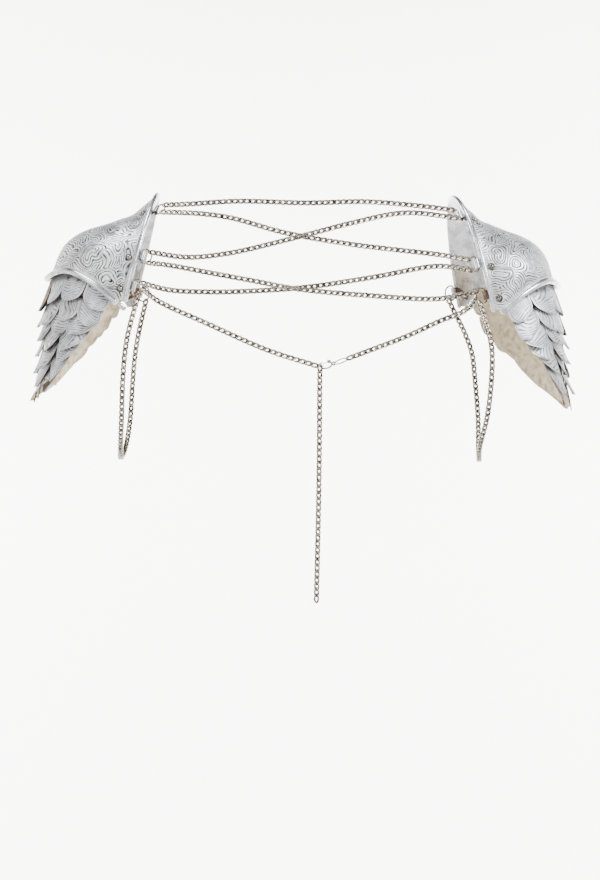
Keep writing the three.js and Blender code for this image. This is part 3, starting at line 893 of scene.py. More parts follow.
@dataclass(frozen=True)
class Motif:
    """One tooled scroll or lobe: where its middle line lies on the cap and how its grooves wind."""

    turn: float
    share: float
    length: float = 0.0  # millimetres along its middle line, 0 for a round scroll
    lean: float = 0.0  # degrees from the cap's length to its head
    bend: float = 0.0  # degrees by which its middle line turns from tail to head
    winds: int = 0  # 0 for closed grooves, 1 or -1 for a spiral about its head
    lobe: float = 0.0  # millimetres from its middle line to its raised border, 0 for none

    def middle_line(self, steps: int = 9) -> np.ndarray:
        """Points of the middle line in the plane that touches the cap, from tail to head."""
        run = np.linspace(-0.5, 0.5, steps)
        heading = math.radians(self.lean) + math.radians(self.bend) * run
        step = np.stack([np.cos(heading), np.sin(heading)], 1) * self.length / (steps - 1)
        path = np.concatenate([np.zeros((1, 2)), np.cumsum((step[:-1] + step[1:]) / 2, axis=0)])
        return path - path.mean(0)


def distance_to_path(x: np.ndarray, y: np.ndarray, path: np.ndarray) -> np.ndarray:
    """How far places in a plane lie from a path of straight steps.

    Args:
        x: First coordinates.
        y: Second coordinates.
        path: The path's points.

    Returns:
        The distances.
    """
    best = np.full(x.shape, 1e9)
    for (ax, ay), (bx, by) in zip(path[:-1], path[1:]):
        dx, dy = bx - ax, by - ay
        share = np.clip(((x - ax) * dx + (y - ay) * dy) / max(dx * dx + dy * dy, 1e-9), 0, 1)
        best = np.minimum(best, np.hypot(x - ax - share * dx, y - ay - share * dy))
    return best


def tooling_values(phase: np.ndarray, calm: np.ndarray, border: np.ndarray) -> np.ndarray:
    """Packs what the silvered leather needs to draw its grooves.

    Args:
        phase: The groove count, whole at the bottom of each groove.
        calm: 1 where grooves are cut, 0 where the leather stays plain.
        border: 1 in the deeper grooves round the lobes, 0 elsewhere; on the feathers it also holds their border line,
            their even grey and the painted shade under the row above.

    Returns:
        Cosine and sine of the phase, calm and border for each place.
    """
    angle = 2 * math.pi * phase
    return np.stack(np.broadcast_arrays(np.cos(angle), np.sin(angle), calm, border), -1)


def groove_depth(tooling: np.ndarray) -> np.ndarray:
    """How deep in a groove each place lies, from 0 on the ridges to 1."""
    line = np.clip(0.5 + 0.5 * tooling[..., 0], 0, 1) ** 1.6
    return np.maximum(line * tooling[..., 2], tooling[..., 3])


@dataclass(frozen=True)
class ToolingPattern:
    """Dense flowing grooves that follow scrolls and lobes, cut into the cap's face."""

    motifs: tuple[Motif, ...]
    seed: int
    spacing: float = 2.25  # millimetres between grooves
    depth: float = 0.42
    meeting: float = 0.7  # millimetres beside the line where two motifs meet that stay plain
    sway: float = 1.5  # millimetres by which the grooves wander
    sway_length: float = 17.0
    fill_gap: float = 12.5  # millimetres between the middles of the fill motifs

    def wander(self, points: np.ndarray) -> np.ndarray:
        """Moves points by slow waves, so that no groove stays regular."""
        random = np.random.default_rng(self.seed)
        moved = points.copy()
        for _ in range(6):
            wave = random.normal(size=3)
            wave *= 2 * math.pi / (self.sway_length * random.uniform(0.6, 1.8)) / np.linalg.norm(wave)
            push = random.normal(size=3) * self.sway / 2.2
            moved = moved + push * np.sin(points @ wave + random.uniform(0, 2 * math.pi))[..., None]
        return moved

    def all_motifs(self, form: CapForm) -> list[Motif]:
        """The chosen motifs, and seeded ones wherever the cap is still bare."""
        random = np.random.default_rng(self.seed + 1)
        placed = list(self.motifs)
        middles = [form.surface(m.turn, m.share) for m in placed]
        for _ in range(1600):
            turn, share = random.uniform(-1, 1), random.uniform(0.03, 0.98)
            middle = form.surface(turn, share)
            if min(np.linalg.norm(middle - other) for other in middles) < self.fill_gap:
                continue
            middles.append(middle)
            drift = 70 * math.sin(middle[2] / 19 + self.seed) + 60 * math.sin(middle[0] / 23)
            length = random.uniform(3.0, 17.0)
            placed.append(
                Motif(
                    turn,
                    share,
                    length,
                    drift + random.uniform(-30, 30),
                    random.uniform(-130, 130),
                    int(random.choice([-1, 0, 1])),
                    random.uniform(3.0, 4.6) if length < 7 else 0.0,
                )
            )
        return placed

    def cut(self, form: CapForm, turn: np.ndarray, share: np.ndarray) -> np.ndarray:
        """The tooling at each place on the cap.

        Args:
            form: The cap's form.
            turn: Places along the cap.
            share: Places across the cap.

        Returns:
            Cosine and sine of the groove phase, calm and border.
        """
        points = self.wander(form.surface(turn, share))
        nearest = np.full(points.shape[:-1], 1e9)
        second = nearest.copy()
        phase = np.zeros_like(nearest)
        border = np.zeros_like(nearest)
        for motif in self.all_motifs(form):
            middle = self.wander(form.surface(motif.turn, motif.share))
            normal = form.normal(motif.turn, motif.share)
            along = form.surface(min(motif.turn + 0.02, 1), motif.share) - form.surface(motif.turn - 0.02, motif.share)
            along = unit(along - normal * (along @ normal))
            away = points - middle
            x, y = away @ along, away @ np.cross(normal, along)
            line = motif.middle_line()
            reach = np.hypot(distance_to_path(x, y, line), away @ normal)
            winding = motif.winds * np.arctan2(y - line[-1, 1], x - line[-1, 0]) / (2 * math.pi)
            distance = reach - motif.lobe * 0.6
            closer = distance < nearest
            second = np.where(closer, nearest, np.minimum(second, distance))
            phase = np.where(closer, reach / self.spacing + winding + 0.25, phase)
            ring = np.exp(-(((reach - motif.lobe) / 0.42) ** 2)) if motif.lobe else 0.0
            border = np.where(closer, ring, border)
            nearest = np.where(closer, distance, nearest)
        calm = np.clip((second - nearest) / self.meeting, 0, 1) ** 0.5
        return tooling_values(phase, calm, border)


@dataclass
class Cap:
    """The domed cap of one pauldron: a tooled face, a smooth inner face and two rolled rims."""

    form: CapForm
    placement: Placement
    pattern: ToolingPattern
    columns: int = 417
    rows: int = 193
    back_rows: int = 25
    neck_rim_radius: float = 2.0
    arm_rim_radius: float = 2.8
    rim_sides: int = 18
    rim_steps: int = 160
    rim_sink: float = 0.6  # how far the cap's wall reaches into a rim, of the rim's radius
    bare_edge: float = 2.4  # millimetres beside the rims that carry no tooling

    def sheet(self) -> Draft:
        """The cap's wall, with its grooves cut into the outer face."""
        turn = np.linspace(-1, 1, self.columns)[:, None]
        width = self.form.width(turn)
        start = self.neck_rim_radius * (1 - self.rim_sink) / width
        end = 1 - self.arm_rim_radius * (1 - self.rim_sink) / width
        share = blend(start, end, np.linspace(0, 1, self.rows)[None])
        turns = np.broadcast_to(turn, share.shape)
        from_neck = share * width - self.neck_rim_radius
        from_arm = (1 - share) * width - self.arm_rim_radius
        bare = np.clip(np.minimum(from_neck, from_arm) / self.bare_edge, 0, 1)
        tooling = self.pattern.cut(self.form, turns, share)
        tooling[..., 2:] *= bare[..., None]
        front = self.form.point(turns, share, self.form.wall / 2 + self.pattern.depth * (0.4 - groove_depth(tooling)))
        back_share = share[:, :: (self.rows - 1) // (self.back_rows - 1)]
        back = self.form.point(np.broadcast_to(turn, back_share.shape), back_share, -self.form.wall / 2)
        return wall(front, back, tooling)

    def rim(self, share: float, radius: float) -> Draft:
        """A rolled rim along one edge, flush with the inner face of the cap."""
        turn = np.linspace(-1, 1, self.rim_steps)
        path = self.form.point(turn, share, np.full(turn.shape, radius - self.form.wall / 2))
        path, radii = round_ended(path, radius)
        spare = (len(path) - len(turn)) // 2
        hint = np.pad(self.form.normal(turn, share), ((spare, spare), (0, 0)), mode="edge")
        return tube(path, hint, np.stack([radii, radii], 1), self.rim_sides)

    def build(self, finishes: Finishes) -> None:
        """Makes the cap and its rims."""
        side = self.placement.side.value
        pieces = (
            ("cap_face", self.sheet(), [finishes.tooled, finishes.smooth], Slot.TOOLED, "cap"),
            ("neck_rim_roll", self.rim(0.0, self.neck_rim_radius), [finishes.smooth], Slot.SMOOTH, "neck_rim"),
            ("arm_rim_roll", self.rim(1.0, self.arm_rim_radius), [finishes.smooth], Slot.SMOOTH, "arm_rim"),
        )
        for name, draft, materials, slot, node in pieces:
            make_piece(
                f"{side}_{name}",
                draft.moved(self.placement.points),
                materials,
                [f"{side}_{node}"],
                mirrored=self.placement.mirrored,
            )


@dataclass(frozen=True)
class FeatherRow:
    """One row of feathers: how many, how long and how deeply notched in shares of the pitch, and how pointed."""

    feathers: int
    length: float
    notch: float
    point: float


@dataclass
class Tail:
    """The leather backing that hangs from the cap, and its rows of feathers laid like shingles."""

    form: CapForm
    placement: Placement
    flare: float
    seed: int
    length: float = 98.0
    span: float = 0.93
    roundness: float = 1.95
    tip_span: float = 0.05
    tuck: float = 6.0
    backing_wall: float = 1.5
    clearance: float = 0.3
    feather_wall: float = 1.1
    row_wall: float = 1.5
    pitch: float = 12.0
    feather_tuck: float = 7.2
    feather_gap: float = 0.78
    rim_reach: float = 6.4  # how much higher the first row starts, up under the rim
    overlap: float = 1.1  # width of a feather over its share of the row
    edge_trim: float = 0.6  # how much of what reaches past the backing's edge is trimmed off
    crown: float = 1.5  # how far a feather's middle stands off its sides
    curl: float = 2.0  # how far a feather's end may curl outward
    end_lift: float = 1.1  # how far every feather's end stands off the row below
    roll: float = 2.2  # how far one side of a feather may stand off
    lean: float = 0.22  # how far a feather's end may swing sideways, of its width
    margin: float = 1.5  # millimetres of plain silver along a feather's edge
    dullness: float = 0.32  # how grey the antiquing leaves a whole feather
    line_strength: float = 0.85  # how dark the grain is beside the border line
    shown: float = 1.25  # how much of a feather the row above leaves bare, in row pitches
    painted_shade_reach: float = 6.0  # millimetres that the painted shade under the row above fades over
    painted_overlap_darkness: float = 0.85  # how dark the painted shade under the row above is, standing in for its shadow
    line_spacing: float = 2.3
    line_depth: float = 0.42
    columns: int = 41
    lines: int = 37
    back_lines: int = 10
    prong_width: float = 2.2
    prongs: tuple = ((-0.17, 66, 36), (-0.05, 75, 32), (0.1, 70, 34))
    turned_out: tuple = ()  # row and place of the feathers that show their bare side
    stud_radius: float = 1.5
    studs: tuple[float, ...] = (-0.86, -0.7, -0.57, -0.43, 0.43, 0.57, 0.7, 0.86)
    rows: tuple[FeatherRow, ...] = (
        FeatherRow(7, 1.83, 0.67, 0),
        FeatherRow(7, 1.92, 0.67, 0.1),
        FeatherRow(6, 1.92, 0.75, 0.2),
        FeatherRow(5, 2, 0.83, 0.4),
        FeatherRow(5, 2.08, 0.92, 0.6),
        FeatherRow(4, 2.33, 1.17, 0.9),
        FeatherRow(1, 2.25, 1.25, 1),
    )

    @property
    def backing_lift(self) -> float:
        """How far inside the cap's middle the backing hangs."""
        return -(self.form.wall / 2 + 3 * self.clearance + self.backing_wall / 2)

    def half_span(self, drop: np.ndarray) -> np.ndarray:
        """How much of the arm edge the tail spans at each drop."""
        left = np.clip(1 - np.maximum(drop, 0) / self.length, 0, None)
        return np.maximum(self.tip_span, self.span * left ** (1 / self.roundness))

    def surface(self, turn: np.ndarray, drop: np.ndarray, lift: np.ndarray) -> np.ndarray:
        """Points on or off the middle of the backing.

        Args:
            turn: Places along the arm edge.
            drop: How far below the arm edge, negative inside the cap.
            lift: How far outward from the middle of the backing.

        Returns:
            The points, in millimetres.
        """
        turn, drop, lift = np.broadcast_arrays(turn, drop, lift)
        inside = self.form.point(turn, np.minimum(1 + drop / self.form.width(turn), 1), self.backing_lift + lift)
        edge = self.form.point(turn, np.ones_like(turn), np.full(turn.shape, self.backing_lift))
        radial = edge - np.array([self.form.arm_axis_reach, 0, 0])
        radial[..., 2] = 0
        below = edge + unit(radial) * (self.flare * drop / self.length + lift)[..., None]
        below[..., 2] -= drop
        return np.where((drop < 0)[..., None], inside, below)

    def backing(self) -> Draft:
        """The backing, a thin sheet, bare outside and at its edges and lined with pale natural leather inside."""
        along = np.linspace(-1, 1, 97)[:, None]
        drop = np.linspace(-self.tuck, self.length, 61)[None]
        turn = along * self.half_span(drop)
        drops = np.broadcast_to(drop, turn.shape)
        half = self.backing_wall / 2
        return wall(
            self.surface(turn, drops, np.full(turn.shape, half)), self.surface(turn, drops, np.full(turn.shape, -half))
        )

    def grain(self, across: np.ndarray, down: np.ndarray, random: np.random.Generator) -> np.ndarray:
        """The groove count over one feather, like the grain of wood round a knot.

        Args:
            across: Millimetres from the feather's middle.
            down: Millimetres from the feather's top.
            random: The row's seeded source of small differences.

        Returns:
            The phase of the grooves.
        """
        knot_across, knot_down = random.uniform(-9, 9), random.uniform(-9, 2)
        fan, twist, start = random.uniform(0, 1), random.uniform(-1, 1), random.uniform(0, 6)
        x, y = across - knot_across, down - knot_down
        rings = np.hypot(x, y) / self.line_spacing
        spread = np.arctan2(x, y + 6) * 17 / self.line_spacing
        waver = 0.35 * np.sin(y / 2.6 + start) + 0.3 * np.sin(x / 2.1 + 2 * start)
        return (spread if fan > 0.6 else rings) + waver + 0.8 * twist * np.sin(y / 7 + start)

    def feather(self, row_index: int, place: int, random: np.random.Generator) -> Draft:
        """One feather of a row.

        Args:
            row_index: The row's number, from the top.
            place: The feather's number in the row, from the back.
            random: The row's seeded source of small differences.

        Returns:
            The feather, with foil on its face and bare leather on its edges and back.
        """
        row = self.rows[row_index]
        curl = self.curl * random.uniform(-0.1, 1.0)
        roll = self.roll * random.uniform(-1.0, 1.0)
        lean = self.lean * random.uniform(-1.0, 1.0)
        top = self.feather_tuck + row_index * self.pitch
        length = row.length * self.pitch * random.uniform(0.9, 1.05)
        notch = row.notch * self.pitch
        if row_index == 0:
            top -= self.rim_reach
            length += self.rim_reach - 3
        u = np.linspace(-1, 1, self.columns)[:, None]
        v = np.linspace(0, 1, self.lines)[None]
        shoulder = blend(0.5, 0.22, row.point)
        late = np.clip((v - shoulder) / (1 - shoulder), 0, 1)
        half_width = blend(np.sqrt(np.clip(1 - late**2, 0, 1)), 1 - late**1.3, row.point)
        half_width = np.maximum(half_width, 0.03)
        middle = (place + 0.5 + lean * v**1.5) / row.feathers
        breadth = self.overlap * random.uniform(0.84, 1.06)
        along = middle + u * half_width * breadth / 2 / row.feathers
        past_edge = np.maximum(np.abs(along - 0.5) - 0.5, 0) * np.sign(along - 0.5)
        along = along - past_edge * self.edge_trim
        turn = (2 * along - 1) * 1.02 * self.half_span(top + v * (length - notch))
        fallen = v * length
        slope = (self.row_wall + self.feather_gap) / self.pitch
        below_rim = np.clip((top + fallen - 2.2) / 4, 0, 1)
        lift = self.backing_wall / 2 + 0.25 + (self.feather_gap - 0.25) * below_rim
        lift = lift + slope * np.maximum(fallen - (self.rim_reach if row_index == 0 else 0), 0)
        lift = lift + (self.crown * v * (1 - u**2) + 0.5 * (place % 2) * np.minimum(3 * v, 1)) * below_rim
        lift = lift + curl * np.clip((v - 0.45) / 0.55, 0, 1) ** 2 + roll * u * v**1.5 * below_rim
        lift = lift + self.end_lift * v**2
        face_width = np.linalg.norm(self.form.arm_edge(0.5) - self.form.arm_edge(0.0)) * 2 * self.span / row.feathers
        phase = self.grain(u * half_width * face_width * 0.6, fallen, random)
        to_side = (1 - np.abs(u)) * half_width * face_width * 0.6
        to_end = (1 - v) * length * np.ones_like(to_side)
        to_edge = np.minimum(to_side, to_end)
        calm = self.line_strength * np.clip((to_edge - self.margin) / 0.8, 0, 1)
        margin_line = 0.8 * np.exp(-(((to_edge - self.margin) / 0.5) ** 2))
        # Painted shade: each feather is greyed where the row above covers it, fading out over a few millimetres near
        # that row's edge, standing in for the shadow that the row above casts; this painted shade is joined with the
        # tooled border line and the feather's even grey into one value.
        painted_shade_under_row = np.clip((1 - v - self.shown * self.pitch / length) * length / self.painted_shade_reach, 0, 1)
        antiquing = np.maximum(np.maximum(margin_line, self.painted_overlap_darkness * painted_shade_under_row), self.dullness)
        tooling = tooling_values(phase, calm, antiquing)
        drops = np.broadcast_to(top + fallen, turn.shape)
        wall_here = blend(0.6, self.feather_wall, below_rim)
        front = self.surface(turn, drops, lift + wall_here - self.line_depth * groove_depth(tooling) * below_rim)
        stride = (self.lines - 1) // (self.back_lines - 1)
        back = self.surface(turn[:, ::stride], drops[:, ::stride], lift[:, ::stride])
        return wall(front, back, tooling)

    def prong(self, turn: float, top: float, length: float) -> Draft:
        """A thin pointed strip of bare leather at the tip of the tail.

        Args:
            turn: Where it hangs along the arm edge.
            top: How far below the arm edge it starts.
            length: Its length.

        Returns:
            The strip.
        """
        run = np.linspace(0, 1, 16)
        half_turn = self.prong_width / 2 / np.linalg.norm(self.form.arm_edge(0.1) - self.form.arm_edge(-0.1)) * 0.2
        turns = turn * (1 - 0.15 * run) + np.array([-1.0, 1.0])[:, None] * half_turn * (1 - 0.75 * run)
        drops = np.broadcast_to(top + run * length, turns.shape)
        lift = self.backing_wall + 1.0 + 4.5 * run
        front = self.surface(turns, drops, lift + self.feather_wall)
        strip = wall(front, self.surface(turns, drops, np.broadcast_to(lift, turns.shape)), np.zeros((*turns.shape, 4)))
        strip.finishes[:] = 2
        return strip

    def stud(self, turn: float) -> Draft:
        """A small rivet that holds the first row to the backing, just below the rim."""
        seat = self.surface(np.array(turn), np.array(5.2), np.array(self.backing_wall / 2 + self.feather_wall + 0.9))
        outward = unit(seat - self.surface(np.array(turn), np.array(5.2), np.array(0.0)))
        radius = self.stud_radius
        profile = [(0, -1.6), (radius, -1.6), (radius, 0.3), (radius * 0.8, 0.75), (radius * 0.4, 1.0), (0, 1.05)]
        along = unit(np.cross(outward, [0.3, 0.4, 1.0]))
        head = turned(profile, 16)
        head.corners = head.corners @ np.stack([along, np.cross(outward, along), outward], 1).T + seat
        return head

    def build(self, finishes: Finishes) -> None:
        """Makes the backing, one joined piece for each row of feathers, and the studs."""
        side = self.placement.side.value
        mirrored = self.placement.mirrored
        backing = self.backing().moved(self.placement.points)
        make_piece(
            f"{side}_backing_sheet",
            backing,
            [finishes.raw, finishes.lining, finishes.raw],
            [f"{side}_tail_backing"],
            mirrored=mirrored,
        )
        for i, row in enumerate(self.rows):
            random = np.random.default_rng(self.seed + i)
            feathers = [self.feather(i, place, random) for place in range(row.feathers)]
            for place, feather in enumerate(feathers):
                if (i, place) in self.turned_out:
                    feather.finishes[:] = 2
            if i == len(self.rows) - 1:
                feathers += [self.prong(*prong) for prong in self.prongs]
            make_piece(
                f"{side}_feathers_{i + 1}",
                joined(feathers).moved(self.placement.points),
                [finishes.tooled, finishes.lining, finishes.raw],
                [f"{side}_feather_row_{i + 1}"],
                mirrored=mirrored,
            )
        studs = joined([self.stud(turn) for turn in self.studs]).moved(self.placement.points)
        make_piece(f"{side}_feather_studs", studs, [finishes.dark_nickel], mirrored=mirrored)


class RingSite(Enum):
    """Where a D-ring sits along the neck edge, by turn."""

    TOP = -0.36
    MID = -0.72
    LOW = -0.91
    FRONT = 0.91


@dataclass
class RingFitting:
    """A D-ring with the folded leather tab that holds it and the domed rivet through the cap."""

    form: CapForm
    placement: Placement
    site: RingSite
    half_width: float = 6.6
    depth: float = 8.3
    wire_radius: float = 0.75
    tab_width: float = 8.0
    tab_wall: float = 1.0
    clearance: float = 0.3
    neck_rim_radius: float = 2.0
    rivet_inset: float = 8.0
    tab_end: float = 3.4
    head_radius: float = 3.2
    head_height: float = 1.7
    shoulder_depth: float = 0.76
    chain_spread: float = 5.0
    outline: tuple = (
        (-0.8, 0.0),
        (-0.4, 0.0),
        (0.4, 0.0),
        (0.8, 0.0),
        (1.0, 0.3),
        (0.7, 0.82),
        (0.0, 1.0),
        (-0.7, 0.82),
        (-1.0, 0.3),
    )

    @property
    def loop_radius(self) -> float:
        """The middle radius of the tab where it folds round the ring's bar."""
        return self.wire_radius + 1.5 * self.clearance + self.tab_wall / 2

    @property
    def tongue_lift(self) -> float:
        """How far inside the cap's middle the tab's tongue lies."""
        return -(self.form.wall / 2 + 2 * self.clearance + self.tab_wall / 2)

    def axes(self) -> np.ndarray:
        """The fitting's local axes in columns: along the neck edge, away from the cap, and outward."""
        turn = self.site.value
        probe = 0.02
        normal = self.form.normal(turn, probe)
        along = unit(self.form.neck_edge(turn + probe) - self.form.neck_edge(turn - probe))
        away = unit(np.cross(normal, along))
        if away @ (self.form.arm_edge(turn) - self.form.neck_edge(turn)) > 0:
            away, along = -away, -along
        return np.stack([along, away, np.cross(along, away)], 1)

    def origin(self) -> np.ndarray:
        """The middle of the ring's straight bar."""
        axes = self.axes()
        offset = self.neck_rim_radius + self.clearance + self.tab_wall / 2 + self.loop_radius
        return self.form.neck_edge(self.site.value) + axes[:, 1] * offset + axes[:, 2] * self.tongue_lift

    def seated(self, points: np.ndarray) -> np.ndarray:
        """Points drawn about the ring's bar, moved to their place on the harness."""
        return self.placement.points(points @ self.axes().T + self.origin())

    def anchor(self, slot: int) -> np.ndarray:
        """Where a chain goes round the ring's bow, for slot -1, 0 or 1 from the ring's upper end."""
        upper = np.sign(self.axes()[2, 0]) or 1
        depth = 1.0 if slot == 0 else self.shoulder_depth
        return self.seated(np.array([[-slot * upper * self.chain_spread, self.depth * depth, 0]]))[0]

    def ring(self) -> Draft:
        """The D-shaped ring of round wire."""
        corners = [(x * self.half_width, y * self.depth, 0.0) for x, y in self.outline]
        wrapped = corners[-2:] + corners + corners[:3]
        first, last = 2 / (len(wrapped) - 1), (2 + len(corners)) / (len(wrapped) - 1)
        path = SmoothCurve(wrapped).at(np.linspace(first, last, 73)[:-1])
        radii = np.array([[self.wire_radius, self.wire_radius]])
        return tube(path, np.array([0.0, 0.0, 1.0]), radii, 14, closed=True)

    def tab(self) -> Draft:
        """The leather strip, from its rivet under the rim, round the bar and back."""
        turn = self.site.value
        probe = 0.02
        ahead = self.form.neck_edge(turn + probe) - self.form.neck_edge(turn)
        half_turn = probe * self.tab_width / 2 / np.linalg.norm(ahead)
        facing = np.sign(self.axes()[:, 0] @ ahead)
        side = np.linspace(-1, 1, 13)[:, None]
        reach = (self.rivet_inset + self.tab_end) / self.form.width(turn)
        shares = np.linspace(reach, 0.02, 14)
        inner, outer = [], []
        for store, lift in ((outer, self.tab_wall / 2), (inner, -self.tab_wall / 2)):
            tongue = self.form.point(turn + side * half_turn, shares[None], np.array(self.tongue_lift + lift))
            store.append(tongue)
            angles = np.linspace(math.radians(-95), math.radians(235), 25)
            radius = self.loop_radius + lift
            fold = np.stack(
                np.broadcast_arrays(
                    facing * side * self.tab_width / 2,
                    (radius * np.sin(angles))[None],
                    (radius * np.cos(angles))[None],
                ),
                -1,
            )
            store.append(fold @ self.axes().T + self.origin())
        front = np.concatenate(outer, axis=1)
        back = np.concatenate(inner, axis=1)
        return wall(front, back)

    def rivet(self) -> Draft:
        """The rivet: a flat washer ring, a groove and a low dome, with its tail inside."""
        turn = self.site.value
        share = self.rivet_inset / self.form.width(turn)
        seat = self.form.wall / 2
        head, high = self.head_radius, self.head_height
        profile = [
            (0, self.tongue_lift - self.tab_wall / 2 - 1.1),
            (1.7, self.tongue_lift - self.tab_wall / 2 - 1.0),
            (2.2, self.tongue_lift - self.tab_wall / 2 - 0.5),
            (2.2, self.tongue_lift - self.tab_wall / 2),
            (1.2, self.tongue_lift - self.tab_wall / 2),
            (1.2, seat - 0.4),
            (head, seat - 0.4),
            (head, seat + 0.35 * high),
            (head * 0.93, seat + 0.5 * high),
            (head * 0.8, seat + 0.46 * high),
            (head * 0.72, seat + 0.25 * high),
            (head * 0.66, seat + 0.3 * high),
            (head * 0.6, seat + 0.66 * high),
            (head * 0.48, seat + 0.88 * high),
            (head * 0.25, seat + 1.0 * high),
            (0, seat + 1.03 * high),
        ]
        normal = self.form.normal(turn, share)
        along = unit(np.cross(normal, [0.3, 0.4, 1.0]))
        axes = np.stack([along, np.cross(normal, along), normal], 1)
        sides = 32
        solid = turned(profile, sides)
        solid.corners = solid.corners @ axes.T + self.form.surface(turn, share)
        dome_rings = 2
        # The crown of the dome takes the bright nickel; its outer slope, the groove and the washer take the darker copy
        # of the nickel, so the head shows a bright centre in a dark ring.
        solid.finishes = np.ones(len(solid.quads) + len(solid.polygons), int)
        solid.finishes[len(solid.quads) - dome_rings * sides : len(solid.quads)] = 0
        solid.finishes[-sides:] = 0
        return solid

    def build(self, finishes: Finishes) -> None:
        """Makes the ring, its tab and its rivet."""
        name = f"{self.placement.side.value}_{self.site.name.lower()}"
        mirrored = self.placement.mirrored
        ring = self.ring().moved(self.seated)
        make_piece(f"{name}_d_ring", ring, [finishes.nickel], [f"{name}_ring"], mirrored=mirrored)
        tab = self.tab().moved(self.placement.points)
        shows_bare = self.placement.side is Side.RIGHT and self.site is RingSite.LOW
        face = finishes.raw if shows_bare else finishes.smooth
        make_piece(
            f"{name}_tab_strip", tab, [face, finishes.raw, finishes.raw], [f"{name}_tab"], mirrored=mirrored
        )
        rivet = self.rivet().moved(self.placement.points)
        metals = [finishes.nickel, finishes.dark_nickel]
        make_piece(f"{name}_dome_rivet", rivet, metals, [f"{name}_rivet"], mirrored=mirrored)


@dataclass(frozen=True)
class ClaspSizes:
    """Sizes of the lobster clasp and of its jump ring."""

    hook: tuple = (13.5, -88.0, -117.0)
    tilt: float = -10.0
    wall: float = 3.2
    wire: float = 1.5
    inner_length: float = 8.6
    inner_height: float = 4.4
    eye_radius: float = 1.9
    eye_hole: float = 0.8
    clearance: float = 0.3
    lever_wall: float = 1.4
    lever_width: float = 0.8
    lever_dip: float = 1.25
    lever_reach: float = 5.2
    pivot_radius: float = 0.5
    ring_radius: float = 2.6
    ring_wire: float = 0.5

    @property
    def eye_centre(self) -> float:
        """How far along the clasp its eye sits."""
        return self.inner_length / 2 + self.wire + self.eye_hole + self.clearance

    def seated(self, points: np.ndarray) -> np.ndarray:
        """Points in the clasp's own plane (x to the eye, y up, z across) moved to the harness."""
        tilt = math.radians(self.tilt)
        along = np.array([math.cos(tilt), 0, -math.sin(tilt)])
        upward = np.array([math.sin(tilt), 0, math.cos(tilt)])
        across = np.array([0.0, -1.0, 0.0])
        nose = self.inner_length / 2 + self.wire / 2
        origin = np.array(self.hook) + along * nose
        return points @ np.stack([along, upward, across]) + origin

    @property
    def pivot(self) -> tuple[float, float]:
        """The lever's pivot in the clasp's plane."""
        return 3.2, self.inner_height / 2 + self.wire / 2 - 0.5


@dataclass(frozen=True)
class ChainRoute:
    """Where a chain runs: its ends, and the chosen points between them."""

    name: str
    through: tuple
    first: tuple | np.ndarray
    last: tuple | np.ndarray
    hint: tuple = (0.0, -1.0, 0.0)
    round_arm: bool = False
    long_links: int = 0  # longer, thinner links at its last end


